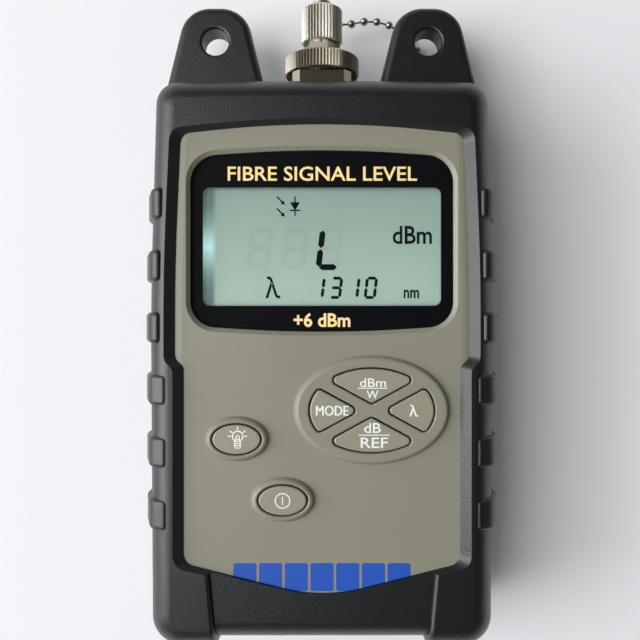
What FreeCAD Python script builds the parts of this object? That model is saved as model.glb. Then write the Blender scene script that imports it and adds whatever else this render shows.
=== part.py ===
"""Handheld optical power meter in a moulded rubber boot, lying on its back.

Millimetres, +Z out of the display, +Y towards the fibre port, origin at the centre of the
whole object's footprint on the surface that it lies on. Every piece is one STEP file.
"""

import FreeCAD, Part
import math
import os
from FreeCAD import Vector

# ---------------------------------------------------------------- case and boot, overall
BEYOND = 100.0             # reaches past the whole part
CASE_TOP = 51.4            # Y of the case's top end at its corners
CASE_TOP_ARCH = 0.6        # rise of the top end between the corners
CASE_BOTTOM = -70.9        # Y of the bottom end
CASE_HALF_TOP = 35.0       # half width at the top corners
CASE_HALF_MIDDLE = 36.4    # half width where the sides swell
CASE_HALF_LOWER = 35.9     # half width of the lower part
SWELL_Y = 6.0              # height at which the sides are widest
CASE_CORNERS = (5.6, 6.6)  # corner radii of the case's plan: port end, bottom end
BOOT_CORNERS = (5.4, 6.8)  # the same for the boot's outside
BOOT_CORNER_TAPER = 0.6    # how much of the shoulder's inset its corner radii lose
CASE_EDGE_ROUND = 5.2
SWELL_REACH = 14.0         # how far the swell's gentle arc runs to either side
ARCH_REACH = 22.0          # the same for the arched top end
CASE_DEPTH = 31.5
CASE_WALL = 2.4
CASE_FRONT_WALL = 3.0
BOOT_WALL = 3.0            # rubber at the sides and ends
BOOT_BACK_WALL = 2.4
BOOT_FIT = 0.1             # gap between rubber and case
BOOT_RIM_PROUD = 2.0       # rim of the front opening above the case's face
SHOULDER_RUN = 5.6         # width of the boot's rounded front shoulder
SHOULDER_DROP = 10.0       # depth of that shoulder
BACK_EDGE_ROUND = 2.0
MOULD_GAP = 0.1            # gap between parts that only touch

CASE_BACK_Z = BOOT_BACK_WALL + BOOT_FIT
CASE_FRONT_Z = CASE_BACK_Z + CASE_DEPTH
BOOT_RIM_Z = CASE_FRONT_Z + BOOT_RIM_PROUD
CASE_INNER_FRONT_Z = CASE_FRONT_Z - CASE_FRONT_WALL
SPLIT_Z = CASE_BACK_Z + 15.5
PORT_Z = SPLIT_Z
BOOT_GROW = BOOT_WALL + BOOT_FIT
BOOT_END_Y = CASE_TOP + CASE_TOP_ARCH + BOOT_GROW

# ---------------------------------------------------------------- boot details
LIP_UPPER = 3.9            # rubber over the case's face beside the display
LIP_LOWER = 5.7            # the same beside the keys
LIP_TOP = 7.4
LIP_BOTTOM = 9.1
OPENING_ARCH_TOP = 3.4     # the opening's ends are arched this much
OPENING_ARCH_BOTTOM = 7.8
OPENING_STEP_Y = (-8.4, -10.2)
OPENING_CORNER = 2.7
OPENING_STEP_CORNER = 1.8
OPENING_BEND_REACH = 24.0
BEVEL_UPPER = 2.7          # width of the bevel round the opening
BEVEL_LOWER = 2.8
BEVEL_ENDS = 1.1
GRIP_COUNT = 6
GRIP_LENGTH = 7.0
GRIP_SPACING = 13.8
GRIP_FIRST_Y = 25.9        # centre of the grip nearest the port
GRIP_PROUD = 1.4           # how far a grip stands out of the side
GRIP_UPPER_INSET = 4.2     # inner end of a grip beside the display
GRIP_LOWER_INSET = 5.6     # inner end of a grip beside the keys
GRIP_RISE = 0.75           # how far its inner end stands above the rim
GRIP_ROUND = 1.05          # rounding of its edges
GRIP_BACK_Z = 3.0
LUG_BACK_Z = 11.0
LUG_THICKNESS = 7.5
LUG_HOLE_X = 26.0
LUG_HOLE_Y = 67.9
LUG_HOLE_RADIUS = 3.25
LUG_EDGE_ROUND = 1.8
LUG_HOLE_ROUND = 0.7
LUG_TOP_Y = 76.5
LUG_TOP_HALF = 7.2
LUG_ROOT_DEPTH = 3.1       # how far the lug's root reaches into the boot
LUG_ROOT_HALF = 13.4
LUG_CORNER_RADIUS = 7.4
BUMPER_STEP = 1.3          # corner bumpers stand this far proud of the lip between them
BUMPER_ROUND = 0.9
BUMPER_HALF_TOP = 25.1     # half width between the bumpers, at the lip
BUMPER_HALF_END = 22.9     # the same at the bottom end
BUMPER_TOP_Y = -54.5
PORT_SLOT_HALF = 12.0
PORT_SLOT_RADIUS = 3.0
PORT_SLOT_Z = (7.0, 29.0)
BACK_WINDOW_HALF = 28.0
BACK_WINDOW_Y = (-64.5, 3.5)
BACK_WINDOW_RADIUS = 5.0

# ---------------------------------------------------------------- display
WINDOW_HALF = 29.4
WINDOW_TOP = 36.5
WINDOW_BOTTOM = -1.3
WINDOW_TOP_ARCH = 2.2
WINDOW_BOTTOM_ARCH = 2.0
WINDOW_CORNER_TOP = 6.2
WINDOW_CORNER_BOTTOM = 5.8
WINDOW_ARCH_REACH = 20.0
WINDOW_RECESS = 0.9
WINDOW_BEVEL = 0.8
WINDOW_THICKNESS = 1.2
WINDOW_GAP = 0.06
DISPLAY_Y = 16.5
LCD_HALF = 28.0
LCD_HALF_HEIGHT = 17.0
LCD_FIT = 0.15
APERTURE_MARGIN = (0.8, 3.0)  # the case's aperture is this much smaller than the glass
LCD_THICKNESS = 2.8
BACKLIGHT_MARGIN = 3.2     # the light guide is this much smaller than the glass, top and bottom
BACKLIGHT_GAP = 0.2
GUIDE_INSET = 2.2          # the same at the guide's left and right ends
LAMP_GAP = 0.1
LAMP_SIZE = (1.5, 3.0, 1.6)
LAMP_SPACING = 8.0
HOLDER_WALL = 1.4
ZEBRA_WIDTH = 1.8
GASKET_THICKNESS = 0.5
GASKET_WIDTH = 1.2

# ---------------------------------------------------------------- keys
KEY_TRAVEL = 0.8
KEY_GAP = 0.32
KEY_PROUD = 0.15
KEY_FLANGE = 0.5
KEY_FLANGE_THICKNESS = 1.2
KEY_EDGE_ROUND = 0.35
KEY_OPENING_ROUND = 0.36   # rounding of the case's edge round each key
KEY_SEAT_GAP = 0.1
RIM_HEIGHT = 1.3
RIM_SLOPE = 0.7            # run of the raised ovals' sloping sides
RIM_ROUND = 0.8
RIM_ROOT = 0.5             # how far the ovals reach into the case's wall
PAD_CENTRE = (11.05, -20.0)
PAD_RIM = (17.4, 12.2)
PAD_KEYS = (13.7, 9.2)
PAD_WEB = 1.1
PAD_WEB_ANGLE = 28.5
PAD_CORNER = 0.9
LIGHT_CENTRE = (-18.9, -26.4)
POWER_CENTRE = (-8.7, -39.9)
OVAL_KEY = (5.3, 3.25)
OVAL_RIM = (7.2, 5.05)

# ---------------------------------------------------------------- boards and keypad mat
BOARD_THICKNESS = 1.6
BOARD_TOP_Z = CASE_INNER_FRONT_Z - 6.0
BOARD_Y = (-60.5, 41.0)
BOARD_CORNER = 2.0
BOARD_SCREW_INSET = 3.15   # from the board's side to its screws
BOARD_SCREW_Y = (-57.4, 38.2)
BOARD_BOSS_RADIUS = 2.3
BOARD_SCREW_RADIUS = 0.9
BOARD_SCREW_HEAD_RADIUS = 1.7
BOARD_SCREW_HEAD = 1.2
BOARD_SCREW_REACH = 4.5
MAT_THICKNESS = 1.2
MAT_HALF = 27.6
MAT_Y = (-50.5, -5.5)
DOME_BASE = 3.3
DOME_POST = 1.7
DOME_WEB = 0.5
PILL_RADIUS = 1.5
PILL_THICKNESS = 0.4

# ---------------------------------------------------------------- case screws
CASE_SCREW_X = 29.4
CASE_SCREW_Y = (-64.2, 45.2)
CASE_BOSS_RADIUS = 3.2
CASE_SCREW_RADIUS = 1.2
CASE_SCREW_HEAD_RADIUS = 2.2
CASE_SCREW_HEAD = 1.7
CASE_SCREW_REACH = 8.0     # thread in the front case
SCREW_GAP = 0.08
TONGUE_HEIGHT = 1.2

# ---------------------------------------------------------------- battery bay
CELL_RADIUS = 7.15
CELL_LENGTH = 49.3
CELL_BUTTON_RADIUS = 2.6
CELL_BUTTON = 1.2
CELL_SPACING = 15.2
BAY_WALL = 1.6
BAY_Y = (-57.2, -0.8)
BAY_SIDE_GAP = 0.5
DOOR_THICKNESS = 1.8
DOOR_GAP = 0.15
DOOR_LAP = 1.0             # how far the door laps over the bay's walls
DOOR_TAB = 1.2
DOOR_TAB_WIDTH = 6.0
DOOR_TAB_X = 14.0
DOOR_SCREW_Y = -60.3
DOOR_SCREW_BOSS = 2.7
CONTACT_THICKNESS = 0.3
CONTACT_WIDTH = 8.0
CONTACT_BOW = 1.6

# ---------------------------------------------------------------- fibre port, along Y
BLOCK_HALF = 6.95
BLOCK_CHAMFER = 1.75
BLOCK_LENGTH = 6.9
SPIGOT_RADIUS = 6.3
NECK_RADIUS = 6.0
STEM_LENGTH = 8.6          # threaded stem inside the case
NUT_FLATS = 15.0
NUT_THICKNESS = 2.4
WASHER_RADIUS = 8.0
WASHER_THICKNESS = 0.6
THREAD_GAP = 0.1
FERRULE_RADIUS = 1.25
RING_RADIUS = 9.0
RING_LENGTH = 4.5
RING_LIP = 0.7
RING_KNURL_COUNT = 72
CAP_KNURL_COUNT = 40
KNURL_DEPTH = 0.3
KNURL_END = 0.45           # chamfer at both ends of a knurl
ADAPTER_FLANGE_RADIUS = 6.1
ADAPTER_FLANGE = 0.75
HEX_FLATS = 7.7
HEX_LENGTH = 4.1
HEX_TURN = 12.0
NOSE_RADIUS = 3.95
NOSE_LENGTH = 6.8
KEYWAY_WIDTH = 2.2
KEYWAY_DEPTH = 3.0
CAP_RADIUS = 5.0
CAP_LENGTH = 8.6
CAP_END_WALL = 1.2
CAP_STEM_RADIUS = 1.9
CAP_STEM_LENGTH = 3.7
GROOVE_FLOOR = 1.2
GROOVE_WIDTH = 0.7
CAN_RADIUS = 2.35
CAN_LENGTH = 3.0
CAN_FLANGE_RADIUS = 2.7
CAN_FLANGE = 0.5
LEAD_RADIUS = 0.23
LEAD_CIRCLE = 1.27
LEAD_ANGLES = (90, 210, 330)
LEAD_BEYOND = 0.6          # how far the leads stand out behind their board
PREAMP_DISTANCE = 1.6      # from the port's stem to the board's back
PREAMP_HALF = 6.0
PREAMP_THICKNESS = 1.0

# ---------------------------------------------------------------- bead chain
BEAD_RADIUS = 1.05
BEAD_SPACING = 3.5
LINK_RADIUS = 0.24
LINK_END = 0.4             # how near a link's end comes to the bead's centre
CHAIN_RING_RADIUS = 0.95
CHAIN_RING_WIRE = 0.22
EYELET_THICKNESS = 0.5
EYELET_RADIUS = 2.6
EYELET_EAR = 4.2           # from the eyelet's centre to the chain's hole
TAB_SCREW_RADIUS = 0.9
TAB_SCREW_HEAD_RADIUS = 1.7
TAB_SCREW_HEAD = 0.9
TAB_SCREW_REACH = 5.0      # depth of its hole in the case


# ================================================================ drawing helpers
def outline(corners, z=0.0):
    """Closed wire through corners (x, y, radius), each rounded by a tangent arc."""
    count = len(corners)
    starts, middles, ends = [], [], []
    for i, (x, y, radius) in enumerate(corners):
        here = Vector(x, y, z)
        before = Vector(corners[i - 1][0], corners[i - 1][1], z) - here
        after = Vector(corners[(i + 1) % count][0], corners[(i + 1) % count][1], z) - here
        before.normalize()
        after.normalize()
        half = before.getAngle(after) / 2
        reach = radius / math.tan(half)
        inward = before + after
        if radius > 0 and inward.Length > 1e-9:
            inward.normalize()
            centre = here + inward * (radius / math.sin(half))
            middles.append(centre - inward * radius)
        else:
            reach = 0.0
            middles.append(here)
        starts.append(here + before * reach)
        ends.append(here + after * reach)
    edges = []
    for i in range(count):
        if (starts[i] - ends[i]).Length > 1e-7:
            edges.append(Part.Arc(starts[i], middles[i], ends[i]).toShape())
        following = starts[(i + 1) % count]
        if (ends[i] - following).Length > 1e-7:
            edges.append(Part.LineSegment(ends[i], following).toShape())
    return Part.Wire(edges)


def gentle(before, here, after, reach):
    """Corner with the radius whose arc runs the given reach to either side."""
    to_before = Vector(before[0] - here[0], before[1] - here[1], 0)
    to_after = Vector(after[0] - here[0], after[1] - here[1], 0)
    return here[0], here[1], reach * math.tan(to_before.getAngle(to_after) / 2)


def mirrored(right_half):
    """Corners of a shape that is the same on both sides of the Y axis."""
    left = [(-x, y, radius) for x, y, radius in reversed(right_half) if x > 0]
    return right_half + left


def rectangle(half_x, low_y, high_y, radius):
    """Corners of an upright rectangle centred on the Y axis."""
    return mirrored([(half_x, high_y, radius), (half_x, low_y, radius)])


def ellipse_wire(centre, axes, z):
    """Ellipse lying flat, with its long axis along X."""
    curve = Part.Ellipse(Vector(centre[0], centre[1], z), axes[0], axes[1])
    return Part.Wire([curve.toShape()])


def prism(wire, height):
    """Solid with the wire's shape, raised along Z."""
    return Part.Face(wire).extrude(Vector(0, 0, height))


def slab(corners, low_z, high_z):
    """Prism of a rounded outline between two heights."""
    return prism(outline(corners, low_z), high_z - low_z)


def box(low, high):
    """Box between two corners."""
    size = [h - l for l, h in zip(low, high)]
    return Part.makeBox(size[0], size[1], size[2], Vector(*low))


def rod(radius, start, direction, length):
    """Cylinder from a start point along a direction."""
    return Part.makeCylinder(radius, length, Vector(*start), Vector(*direction))


def port_rod(radius, low_y, high_y):
    """Cylinder on the fibre port's axis."""
    return rod(radius, (0, low_y, PORT_Z), (0, 1, 0), high_y - low_y)


def port_turned(profile):
    """Solid turned about the fibre port's axis from (radius, y) points."""
    points = [Vector(radius, y, PORT_Z) for radius, y in profile]
    face = Part.Face(Part.makePolygon(points + [points[0]]))
    return face.revolve(Vector(0, 0, PORT_Z), Vector(0, 1, 0), 360)


def single(shape):
    """The solid inside a compound that holds just one."""
    return shape.Solids[0] if len(shape.Solids) == 1 else shape


def fuse(shapes):
    """One solid from pieces that meet."""
    return single(shapes[0].multiFuse(shapes[1:]).removeSplitter())


def cut(shape, tools):
    """A shape less every tool."""
    return single(shape.cut(Part.makeCompound(tools)))


def rounded(shape, radius, wanted):
    """Rounds the edges that a test picks by their box."""
    edges = [e for e in shape.Edges if wanted(e.BoundBox)]
    return single(shape.makeFillet(radius, edges))


def level_edge(z):
    """Test for edges that lie flat at one height."""
    return lambda b: abs(b.ZMin - z) < 1e-4 and abs(b.ZMax - z) < 1e-4


def upright_edge(b):
    """Test for edges that run along Z."""
    return b.XLength < 1e-4 and b.YLength < 1e-4 and b.ZLength > 1e-3


# ================================================================ case and boot forms
def body_corners(grow, radii=None):
    """Plan of the case grown by a distance; the boot uses the same plan."""
    top_radius, bottom_radius = radii or [radius + grow for radius in CASE_CORNERS]
    top = (0.0, CASE_TOP + CASE_TOP_ARCH + grow)
    shoulder = (CASE_HALF_TOP + grow, CASE_TOP + grow)
    swell = (CASE_HALF_MIDDLE + grow, SWELL_Y)
    foot = (CASE_HALF_LOWER + grow, CASE_BOTTOM - grow)
    return mirrored([
        gentle((-shoulder[0], shoulder[1]), top, shoulder, ARCH_REACH), (*shoulder, top_radius),
        gentle(shoulder, swell, foot, SWELL_REACH), (*foot, bottom_radius),
    ])


def body_slab(grow, low_z, high_z):
    """Prism of the case's plan."""
    return slab(body_corners(grow), low_z, high_z)


def case_form(grow):
    """The closed case with its rounded front edge, grown all round."""
    top_z = CASE_FRONT_Z + grow
    form = body_slab(grow, CASE_BACK_Z - grow, top_z)
    return rounded(form, CASE_EDGE_ROUND + grow, level_edge(top_z))


def boot_form(shrink):
    """Outer form of the boot, taken in by a distance on every side but the back."""
    grow = BOOT_GROW - shrink
    top_z = BOOT_RIM_Z - shrink
    base_z = top_z - SHOULDER_DROP
    sections = []
    for degrees in (0, 30, 55, 75, 90):
        angle = math.radians(degrees)
        inset = SHOULDER_RUN * (1 - math.cos(angle))
        z = base_z + SHOULDER_DROP * math.sin(angle)
        radii = [radius - BOOT_CORNER_TAPER * inset for radius in BOOT_CORNERS]
        sections.append(outline(body_corners(grow - inset, radii), z))
    shoulder = Part.makeLoft(sections, True, False)
    wall = slab(body_corners(grow, BOOT_CORNERS), 0.0, base_z)
    wall = rounded(wall, BACK_EDGE_ROUND, level_edge(0.0))
    return fuse([wall, shoulder])


def side_half(y):
    """Half width of the boot's side wall at a height, without the swell's gentle arc."""
    if y > SWELL_Y:
        end_half, end_y = CASE_HALF_TOP, CASE_TOP
    else:
        end_half, end_y = CASE_HALF_LOWER, CASE_BOTTOM
    share = (y - SWELL_Y) / (end_y - SWELL_Y)
    return CASE_HALF_MIDDLE + (end_half - CASE_HALF_MIDDLE) * share + BOOT_GROW


def grip(side, number):
    """One grip rib that wraps the boot's side from the front shoulder to the back."""
    centre_y = GRIP_FIRST_Y - number * GRIP_SPACING
    outer = side_half(centre_y)
    inner = outer - (GRIP_UPPER_INSET if number < GRIP_COUNT / 2 else GRIP_LOWER_INSET)
    shoulder_z = BOOT_RIM_Z - SHOULDER_DROP
    profile = [
        (inner, shoulder_z, 0.0),
        (inner, BOOT_RIM_Z + GRIP_RISE, 1.3),
        (outer - 1.0, BOOT_RIM_Z - 1.4, 3.6),
        (outer + GRIP_PROUD, shoulder_z + 0.4, 3.0),
        (outer + GRIP_PROUD, GRIP_BACK_Z, 1.2),
        (outer - 1.0, GRIP_BACK_Z, 0.0),
        (outer - 1.0, shoulder_z, 0.0),
    ]
    wire = outline(profile)
    wire.rotate(Vector(0, 0, 0), Vector(1, 0, 0), 90)
    wire.translate(Vector(0, centre_y + GRIP_LENGTH / 2, 0))
    rib = Part.Face(wire).extrude(Vector(0, -GRIP_LENGTH, 0))
    rib = rounded(rib, GRIP_ROUND, lambda b: b.YLength < 1e-4
                  and (b.ZMax > shoulder_z + 0.1 or b.XMax > outer - 0.9))
    return rib if side > 0 else rib.mirror(Vector(0, 0, 0), Vector(1, 0, 0))


def lug(side):
    """Strap lug with its eye."""
    root_y = CASE_TOP + BOOT_GROW - LUG_ROOT_DEPTH
    corners = [
        (LUG_HOLE_X - LUG_ROOT_HALF, root_y, 0.0),
        (LUG_HOLE_X - LUG_TOP_HALF, LUG_TOP_Y, LUG_CORNER_RADIUS),
        (LUG_HOLE_X + LUG_TOP_HALF, LUG_TOP_Y, LUG_CORNER_RADIUS),
        (LUG_HOLE_X + LUG_ROOT_HALF, root_y, 0.0),
    ]
    top_z = LUG_BACK_Z + LUG_THICKNESS
    tab = slab(corners, LUG_BACK_Z, top_z)
    tab = rounded(tab, LUG_EDGE_ROUND, lambda b: b.ZLength < 1e-4 and b.YMax > root_y + 1)
    tab = tab.cut(rod(LUG_HOLE_RADIUS, (LUG_HOLE_X, LUG_HOLE_Y, 0), (0, 0, 1), BOOT_RIM_Z))
    reach = LUG_HOLE_RADIUS + 0.5
    tab = rounded(tab, LUG_HOLE_ROUND,
                  lambda b: b.ZLength < 1e-4 and b.XLength < 2 * reach and b.YLength > reach
                  and abs(b.Center.x - LUG_HOLE_X) < 0.1 and abs(b.Center.y - LUG_HOLE_Y) < 0.1)
    return tab if side > 0 else tab.mirror(Vector(0, 0, 0), Vector(1, 0, 0))


def opening(bevel_upper, bevel_lower, bevel_ends):
    """Plan of the boot's front opening, grown by a bevel's width."""
    upper = CASE_HALF_MIDDLE - LIP_UPPER + bevel_upper
    lower = CASE_HALF_LOWER - LIP_LOWER + bevel_lower
    narrowing = CASE_HALF_MIDDLE - CASE_HALF_TOP
    top = (0.0, CASE_TOP + CASE_TOP_ARCH - LIP_TOP + bevel_ends)
    shoulder = (upper - narrowing, top[1] - OPENING_ARCH_TOP)
    swell = (upper, SWELL_Y + 7.0)
    step = (upper, OPENING_STEP_Y[0] - bevel_ends / 2)
    waist = (lower, OPENING_STEP_Y[1] - bevel_ends / 2)
    foot = (lower, CASE_BOTTOM + LIP_BOTTOM + OPENING_ARCH_BOTTOM - bevel_ends / 2)
    end = (0.0, CASE_BOTTOM + LIP_BOTTOM - bevel_ends / 8)
    corner = OPENING_CORNER + bevel_ends / 2
    step_corner = OPENING_STEP_CORNER + bevel_ends / 2
    return mirrored([
        gentle((-shoulder[0], shoulder[1]), top, shoulder, OPENING_BEND_REACH), (*shoulder, corner),
        gentle(shoulder, swell, step, 10.0), (*step, step_corner), (*waist, step_corner), (*foot, corner),
        gentle(foot, end, (-foot[0], foot[1]), 9.0),
    ])


# ================================================================ places worked out from the above
CASE_END_Y = CASE_TOP + CASE_TOP_ARCH
BOARD_HALF = LCD_HALF + LCD_FIT + HOLDER_WALL
BOARD_SCREW_X = BOARD_HALF - BOARD_SCREW_INSET
BLOCK_START = CASE_END_Y + MOULD_GAP
BLOCK_END = BLOCK_START + BLOCK_LENGTH - MOULD_GAP
RING_START = BLOCK_END + 0.2
RING_END = RING_START + RING_LENGTH
RING_BORE = SPIGOT_RADIUS + THREAD_GAP
SPIGOT_END = RING_END - RING_LIP - ADAPTER_FLANGE - 0.25
FLANGE_START = SPIGOT_END + 0.1
HEX_END = RING_END + HEX_LENGTH - RING_LIP
NOSE_END = HEX_END + NOSE_LENGTH
CAP_START = HEX_END + 0.1
CAP_END = CAP_START + CAP_LENGTH
GROOVE_Y = CAP_END + 1.1
STEM_END = CAP_END + CAP_STEM_LENGTH
STEM_START = BLOCK_START - STEM_LENGTH
OBJECT_BOTTOM_Y = CASE_BOTTOM - BOOT_GROW
OBJECT_SHIFT_Y = -(OBJECT_BOTTOM_Y + STEM_END) / 2

WINDOW_TOP_Z = CASE_FRONT_Z - WINDOW_RECESS
WINDOW_BACK_Z = WINDOW_TOP_Z - WINDOW_THICKNESS
LCD_TOP_Z = CASE_INNER_FRONT_Z - GASKET_THICKNESS
LCD_BACK_Z = LCD_TOP_Z - LCD_THICKNESS
KEY_TOP_Z = CASE_FRONT_Z + RIM_HEIGHT + KEY_PROUD
FLANGE_TOP_Z = CASE_INNER_FRONT_Z - KEY_SEAT_GAP
FLANGE_BACK_Z = FLANGE_TOP_Z - KEY_FLANGE_THICKNESS
MAT_BACK_Z = BOARD_TOP_Z + 0.05
MAT_TOP_Z = MAT_BACK_Z + MAT_THICKNESS
PILL_BACK_Z = BOARD_TOP_Z + KEY_TRAVEL + 0.1
BOARD_BACK_Z = BOARD_TOP_Z - BOARD_THICKNESS
BAY_HALF = CELL_SPACING + CELL_RADIUS + BAY_SIDE_GAP
DOOR_TOP_Z = CASE_BACK_Z + DOOR_THICKNESS
CELL_Z = DOOR_TOP_Z + 0.3 + CELL_RADIUS
BAY_TOP_Z = CELL_Z + CELL_RADIUS + 0.3
DOOR_HALF = BAY_HALF + DOOR_LAP
DOOR_Y = (DOOR_SCREW_Y - DOOR_SCREW_BOSS, BAY_Y[1] - BAY_WALL + DOOR_LAP)

PAD_DIRECTIONS = {"key_unit": 90, "key_wavelength": 0, "key_reference": 270, "key_mode": 180}
OVAL_CENTRES = {"key_backlight": LIGHT_CENTRE, "key_power": POWER_CENTRE}


# ================================================================ keys
def pad_key(degrees, grow, low_z, high_z):
    """One quarter of the oval key cluster, between two arms of the cross-shaped web."""
    axes = (PAD_KEYS[0] + grow, PAD_KEYS[1] + grow)
    height = high_z - low_z
    blank = prism(ellipse_wire(PAD_CENTRE, axes, low_z), height)
    half_web = PAD_WEB + KEY_GAP - grow
    centre = Vector(PAD_CENTRE[0], PAD_CENTRE[1], 0)
    arms = []
    for angle in (PAD_WEB_ANGLE, -PAD_WEB_ANGLE):
        arm = box((-axes[0] - 5, -half_web, low_z), (axes[0] + 5, half_web, high_z))
        arm.rotate(Vector(0, 0, 0), Vector(0, 0, 1), angle)
        arm.translate(centre)
        arms.append(arm)
    wanted = math.radians(degrees)
    heading = Vector(math.cos(wanted), math.sin(wanted), 0)
    quarter = max(cut(blank, arms).Solids, key=lambda q: (q.CenterOfMass - centre).dot(heading))

    def corner(b):
        on_seam = abs(b.Center.y - centre.y) < 1e-3 and b.Center.x - centre.x > axes[0] / 2
        return upright_edge(b) and not on_seam

    return rounded(quarter, PAD_CORNER + grow, corner)


def oval_key(centre, grow, low_z, high_z):
    """One oval key."""
    axes = (OVAL_KEY[0] + grow, OVAL_KEY[1] + grow)
    return prism(ellipse_wire(centre, axes, low_z), high_z - low_z)


def key_forms():
    """Name of each key with a function that draws its plan as a prism."""
    forms = {}
    for name, degrees in PAD_DIRECTIONS.items():
        forms[name] = lambda grow, low, high, d=degrees: pad_key(d, grow, low, high)
    for name, centre in OVAL_CENTRES.items():
        forms[name] = lambda grow, low, high, c=centre: oval_key(c, grow, low, high)
    return forms


def key_centre(form):
    """Centre of a key's face."""
    centre = form(0.0, 0.0, 1.0).CenterOfMass
    return centre.x, centre.y


def key(form):
    """A key: cap with softened edges on a flange that keeps it in the case."""
    cap = form(0.0, FLANGE_TOP_Z - 0.2, KEY_TOP_Z)
    cap = rounded(cap, KEY_EDGE_ROUND, level_edge(KEY_TOP_Z))
    flange = form(KEY_FLANGE, FLANGE_BACK_Z, FLANGE_TOP_Z)
    return fuse([flange, cap])


def key_plateau(centre, axes):
    """Raised oval of the case round a key or the cluster, with sloping rounded sides."""
    steepness = RIM_SLOPE / RIM_HEIGHT
    base = ellipse_wire(centre, [axis + steepness * RIM_ROOT for axis in axes], CASE_FRONT_Z - RIM_ROOT)
    top = ellipse_wire(centre, [axis - RIM_SLOPE for axis in axes], CASE_FRONT_Z + RIM_HEIGHT)
    raised = Part.makeLoft([base, top], True, True)
    return rounded(raised, RIM_ROUND, level_edge(CASE_FRONT_Z + RIM_HEIGHT))


# ================================================================ case
def window_corners(grow):
    """Plan of the display window, arched at both ends."""
    half = WINDOW_HALF + grow
    top = (0.0, WINDOW_TOP + WINDOW_TOP_ARCH + grow)
    bottom = (0.0, WINDOW_BOTTOM - WINDOW_BOTTOM_ARCH - grow)
    upper = (half, WINDOW_TOP + grow)
    lower = (half, WINDOW_BOTTOM - grow)
    return mirrored([
        gentle((-upper[0], upper[1]), top, upper, WINDOW_ARCH_REACH), (*upper, WINDOW_CORNER_TOP + grow),
        (*lower, WINDOW_CORNER_BOTTOM + grow), gentle(lower, bottom, (-lower[0], lower[1]), WINDOW_ARCH_REACH),
    ])


def display_slab(half_x, half_y, radius, low_z, high_z):
    """Slab centred on the display."""
    return slab(rectangle(half_x, DISPLAY_Y - half_y, DISPLAY_Y + half_y, radius), low_z, high_z)


def four(x, ys):
    """Four places, mirrored left and right, at two heights."""
    return [(side * x, y) for side in (-1, 1) for y in ys]


def split_ring(outer_inset, inner_inset, low_z, high_z):
    """Ring inside the case's wall, for the tongue and its groove."""
    return body_slab(-outer_inset, low_z, high_z).cut(body_slab(-inner_inset, low_z, high_z))


def front_case():
    """Front shell with the window seat, the raised key ovals and the screw bosses."""
    shell = case_form(0.0).cut(box((-BEYOND, -BEYOND, 0), (BEYOND, BEYOND, SPLIT_Z)))
    shell = shell.cut(body_slab(-CASE_WALL, SPLIT_Z, CASE_INNER_FRONT_Z))
    extras = [key_plateau(PAD_CENTRE, PAD_RIM)]
    extras += [key_plateau(centre, OVAL_RIM) for centre in OVAL_CENTRES.values()]
    for x, y in four(CASE_SCREW_X, CASE_SCREW_Y):
        extras.append(rod(CASE_BOSS_RADIUS, (x, y, SPLIT_Z + MOULD_GAP / 2), (0, 0, 1),
                          CASE_INNER_FRONT_Z - SPLIT_Z + 0.5))
    for x, y in four(BOARD_SCREW_X, BOARD_SCREW_Y):
        extras.append(rod(BOARD_BOSS_RADIUS, (x, y, BOARD_TOP_Z), (0, 0, 1),
                          CASE_INNER_FRONT_Z - BOARD_TOP_Z + 0.5))
    shell = fuse([shell] + extras)

    tools = [slab(window_corners(WINDOW_GAP), WINDOW_BACK_Z - WINDOW_GAP, CASE_FRONT_Z + 1)]
    tools.append(Part.makeLoft([outline(window_corners(WINDOW_GAP), WINDOW_TOP_Z),
                                outline(window_corners(WINDOW_BEVEL + 0.2), CASE_FRONT_Z + 0.1)],
                               True, True))
    tools.append(display_slab(LCD_HALF - APERTURE_MARGIN[0], LCD_HALF_HEIGHT - APERTURE_MARGIN[1], 1.0,
                              CASE_INNER_FRONT_Z - 1, CASE_FRONT_Z))
    for form in key_forms().values():
        tools.append(form(KEY_GAP, CASE_INNER_FRONT_Z - 1, KEY_TOP_Z + 1))
    for x, y in four(CASE_SCREW_X, CASE_SCREW_Y):
        tools.append(rod(CASE_SCREW_RADIUS + SCREW_GAP, (x, y, SPLIT_Z), (0, 0, 1),
                         CASE_SCREW_REACH + 0.5))
    for x, y in four(BOARD_SCREW_X, BOARD_SCREW_Y):
        tools.append(rod(BOARD_SCREW_RADIUS + SCREW_GAP, (x, y, BOARD_TOP_Z), (0, 0, 1),
                         BOARD_SCREW_REACH + 0.4))
    tools.append(port_rod(NECK_RADIUS + THREAD_GAP, STEM_START, BLOCK_END))
    tools.append(split_ring(0.7, 1.8, SPLIT_Z, SPLIT_Z + TONGUE_HEIGHT + 0.1))
    plans = [form(KEY_GAP + 0.1, 0.0, 1.0).BoundBox for form in key_forms().values()]
    on_top = level_edge(CASE_FRONT_Z + RIM_HEIGHT)

    def round_a_key(b):
        return on_top(b) and any(plan.XMin < b.XMin and b.XMax < plan.XMax
                                 and plan.YMin < b.YMin and b.YMax < plan.YMax for plan in plans)

    return rounded(cut(shell, tools), KEY_OPENING_ROUND, round_a_key)


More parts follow.
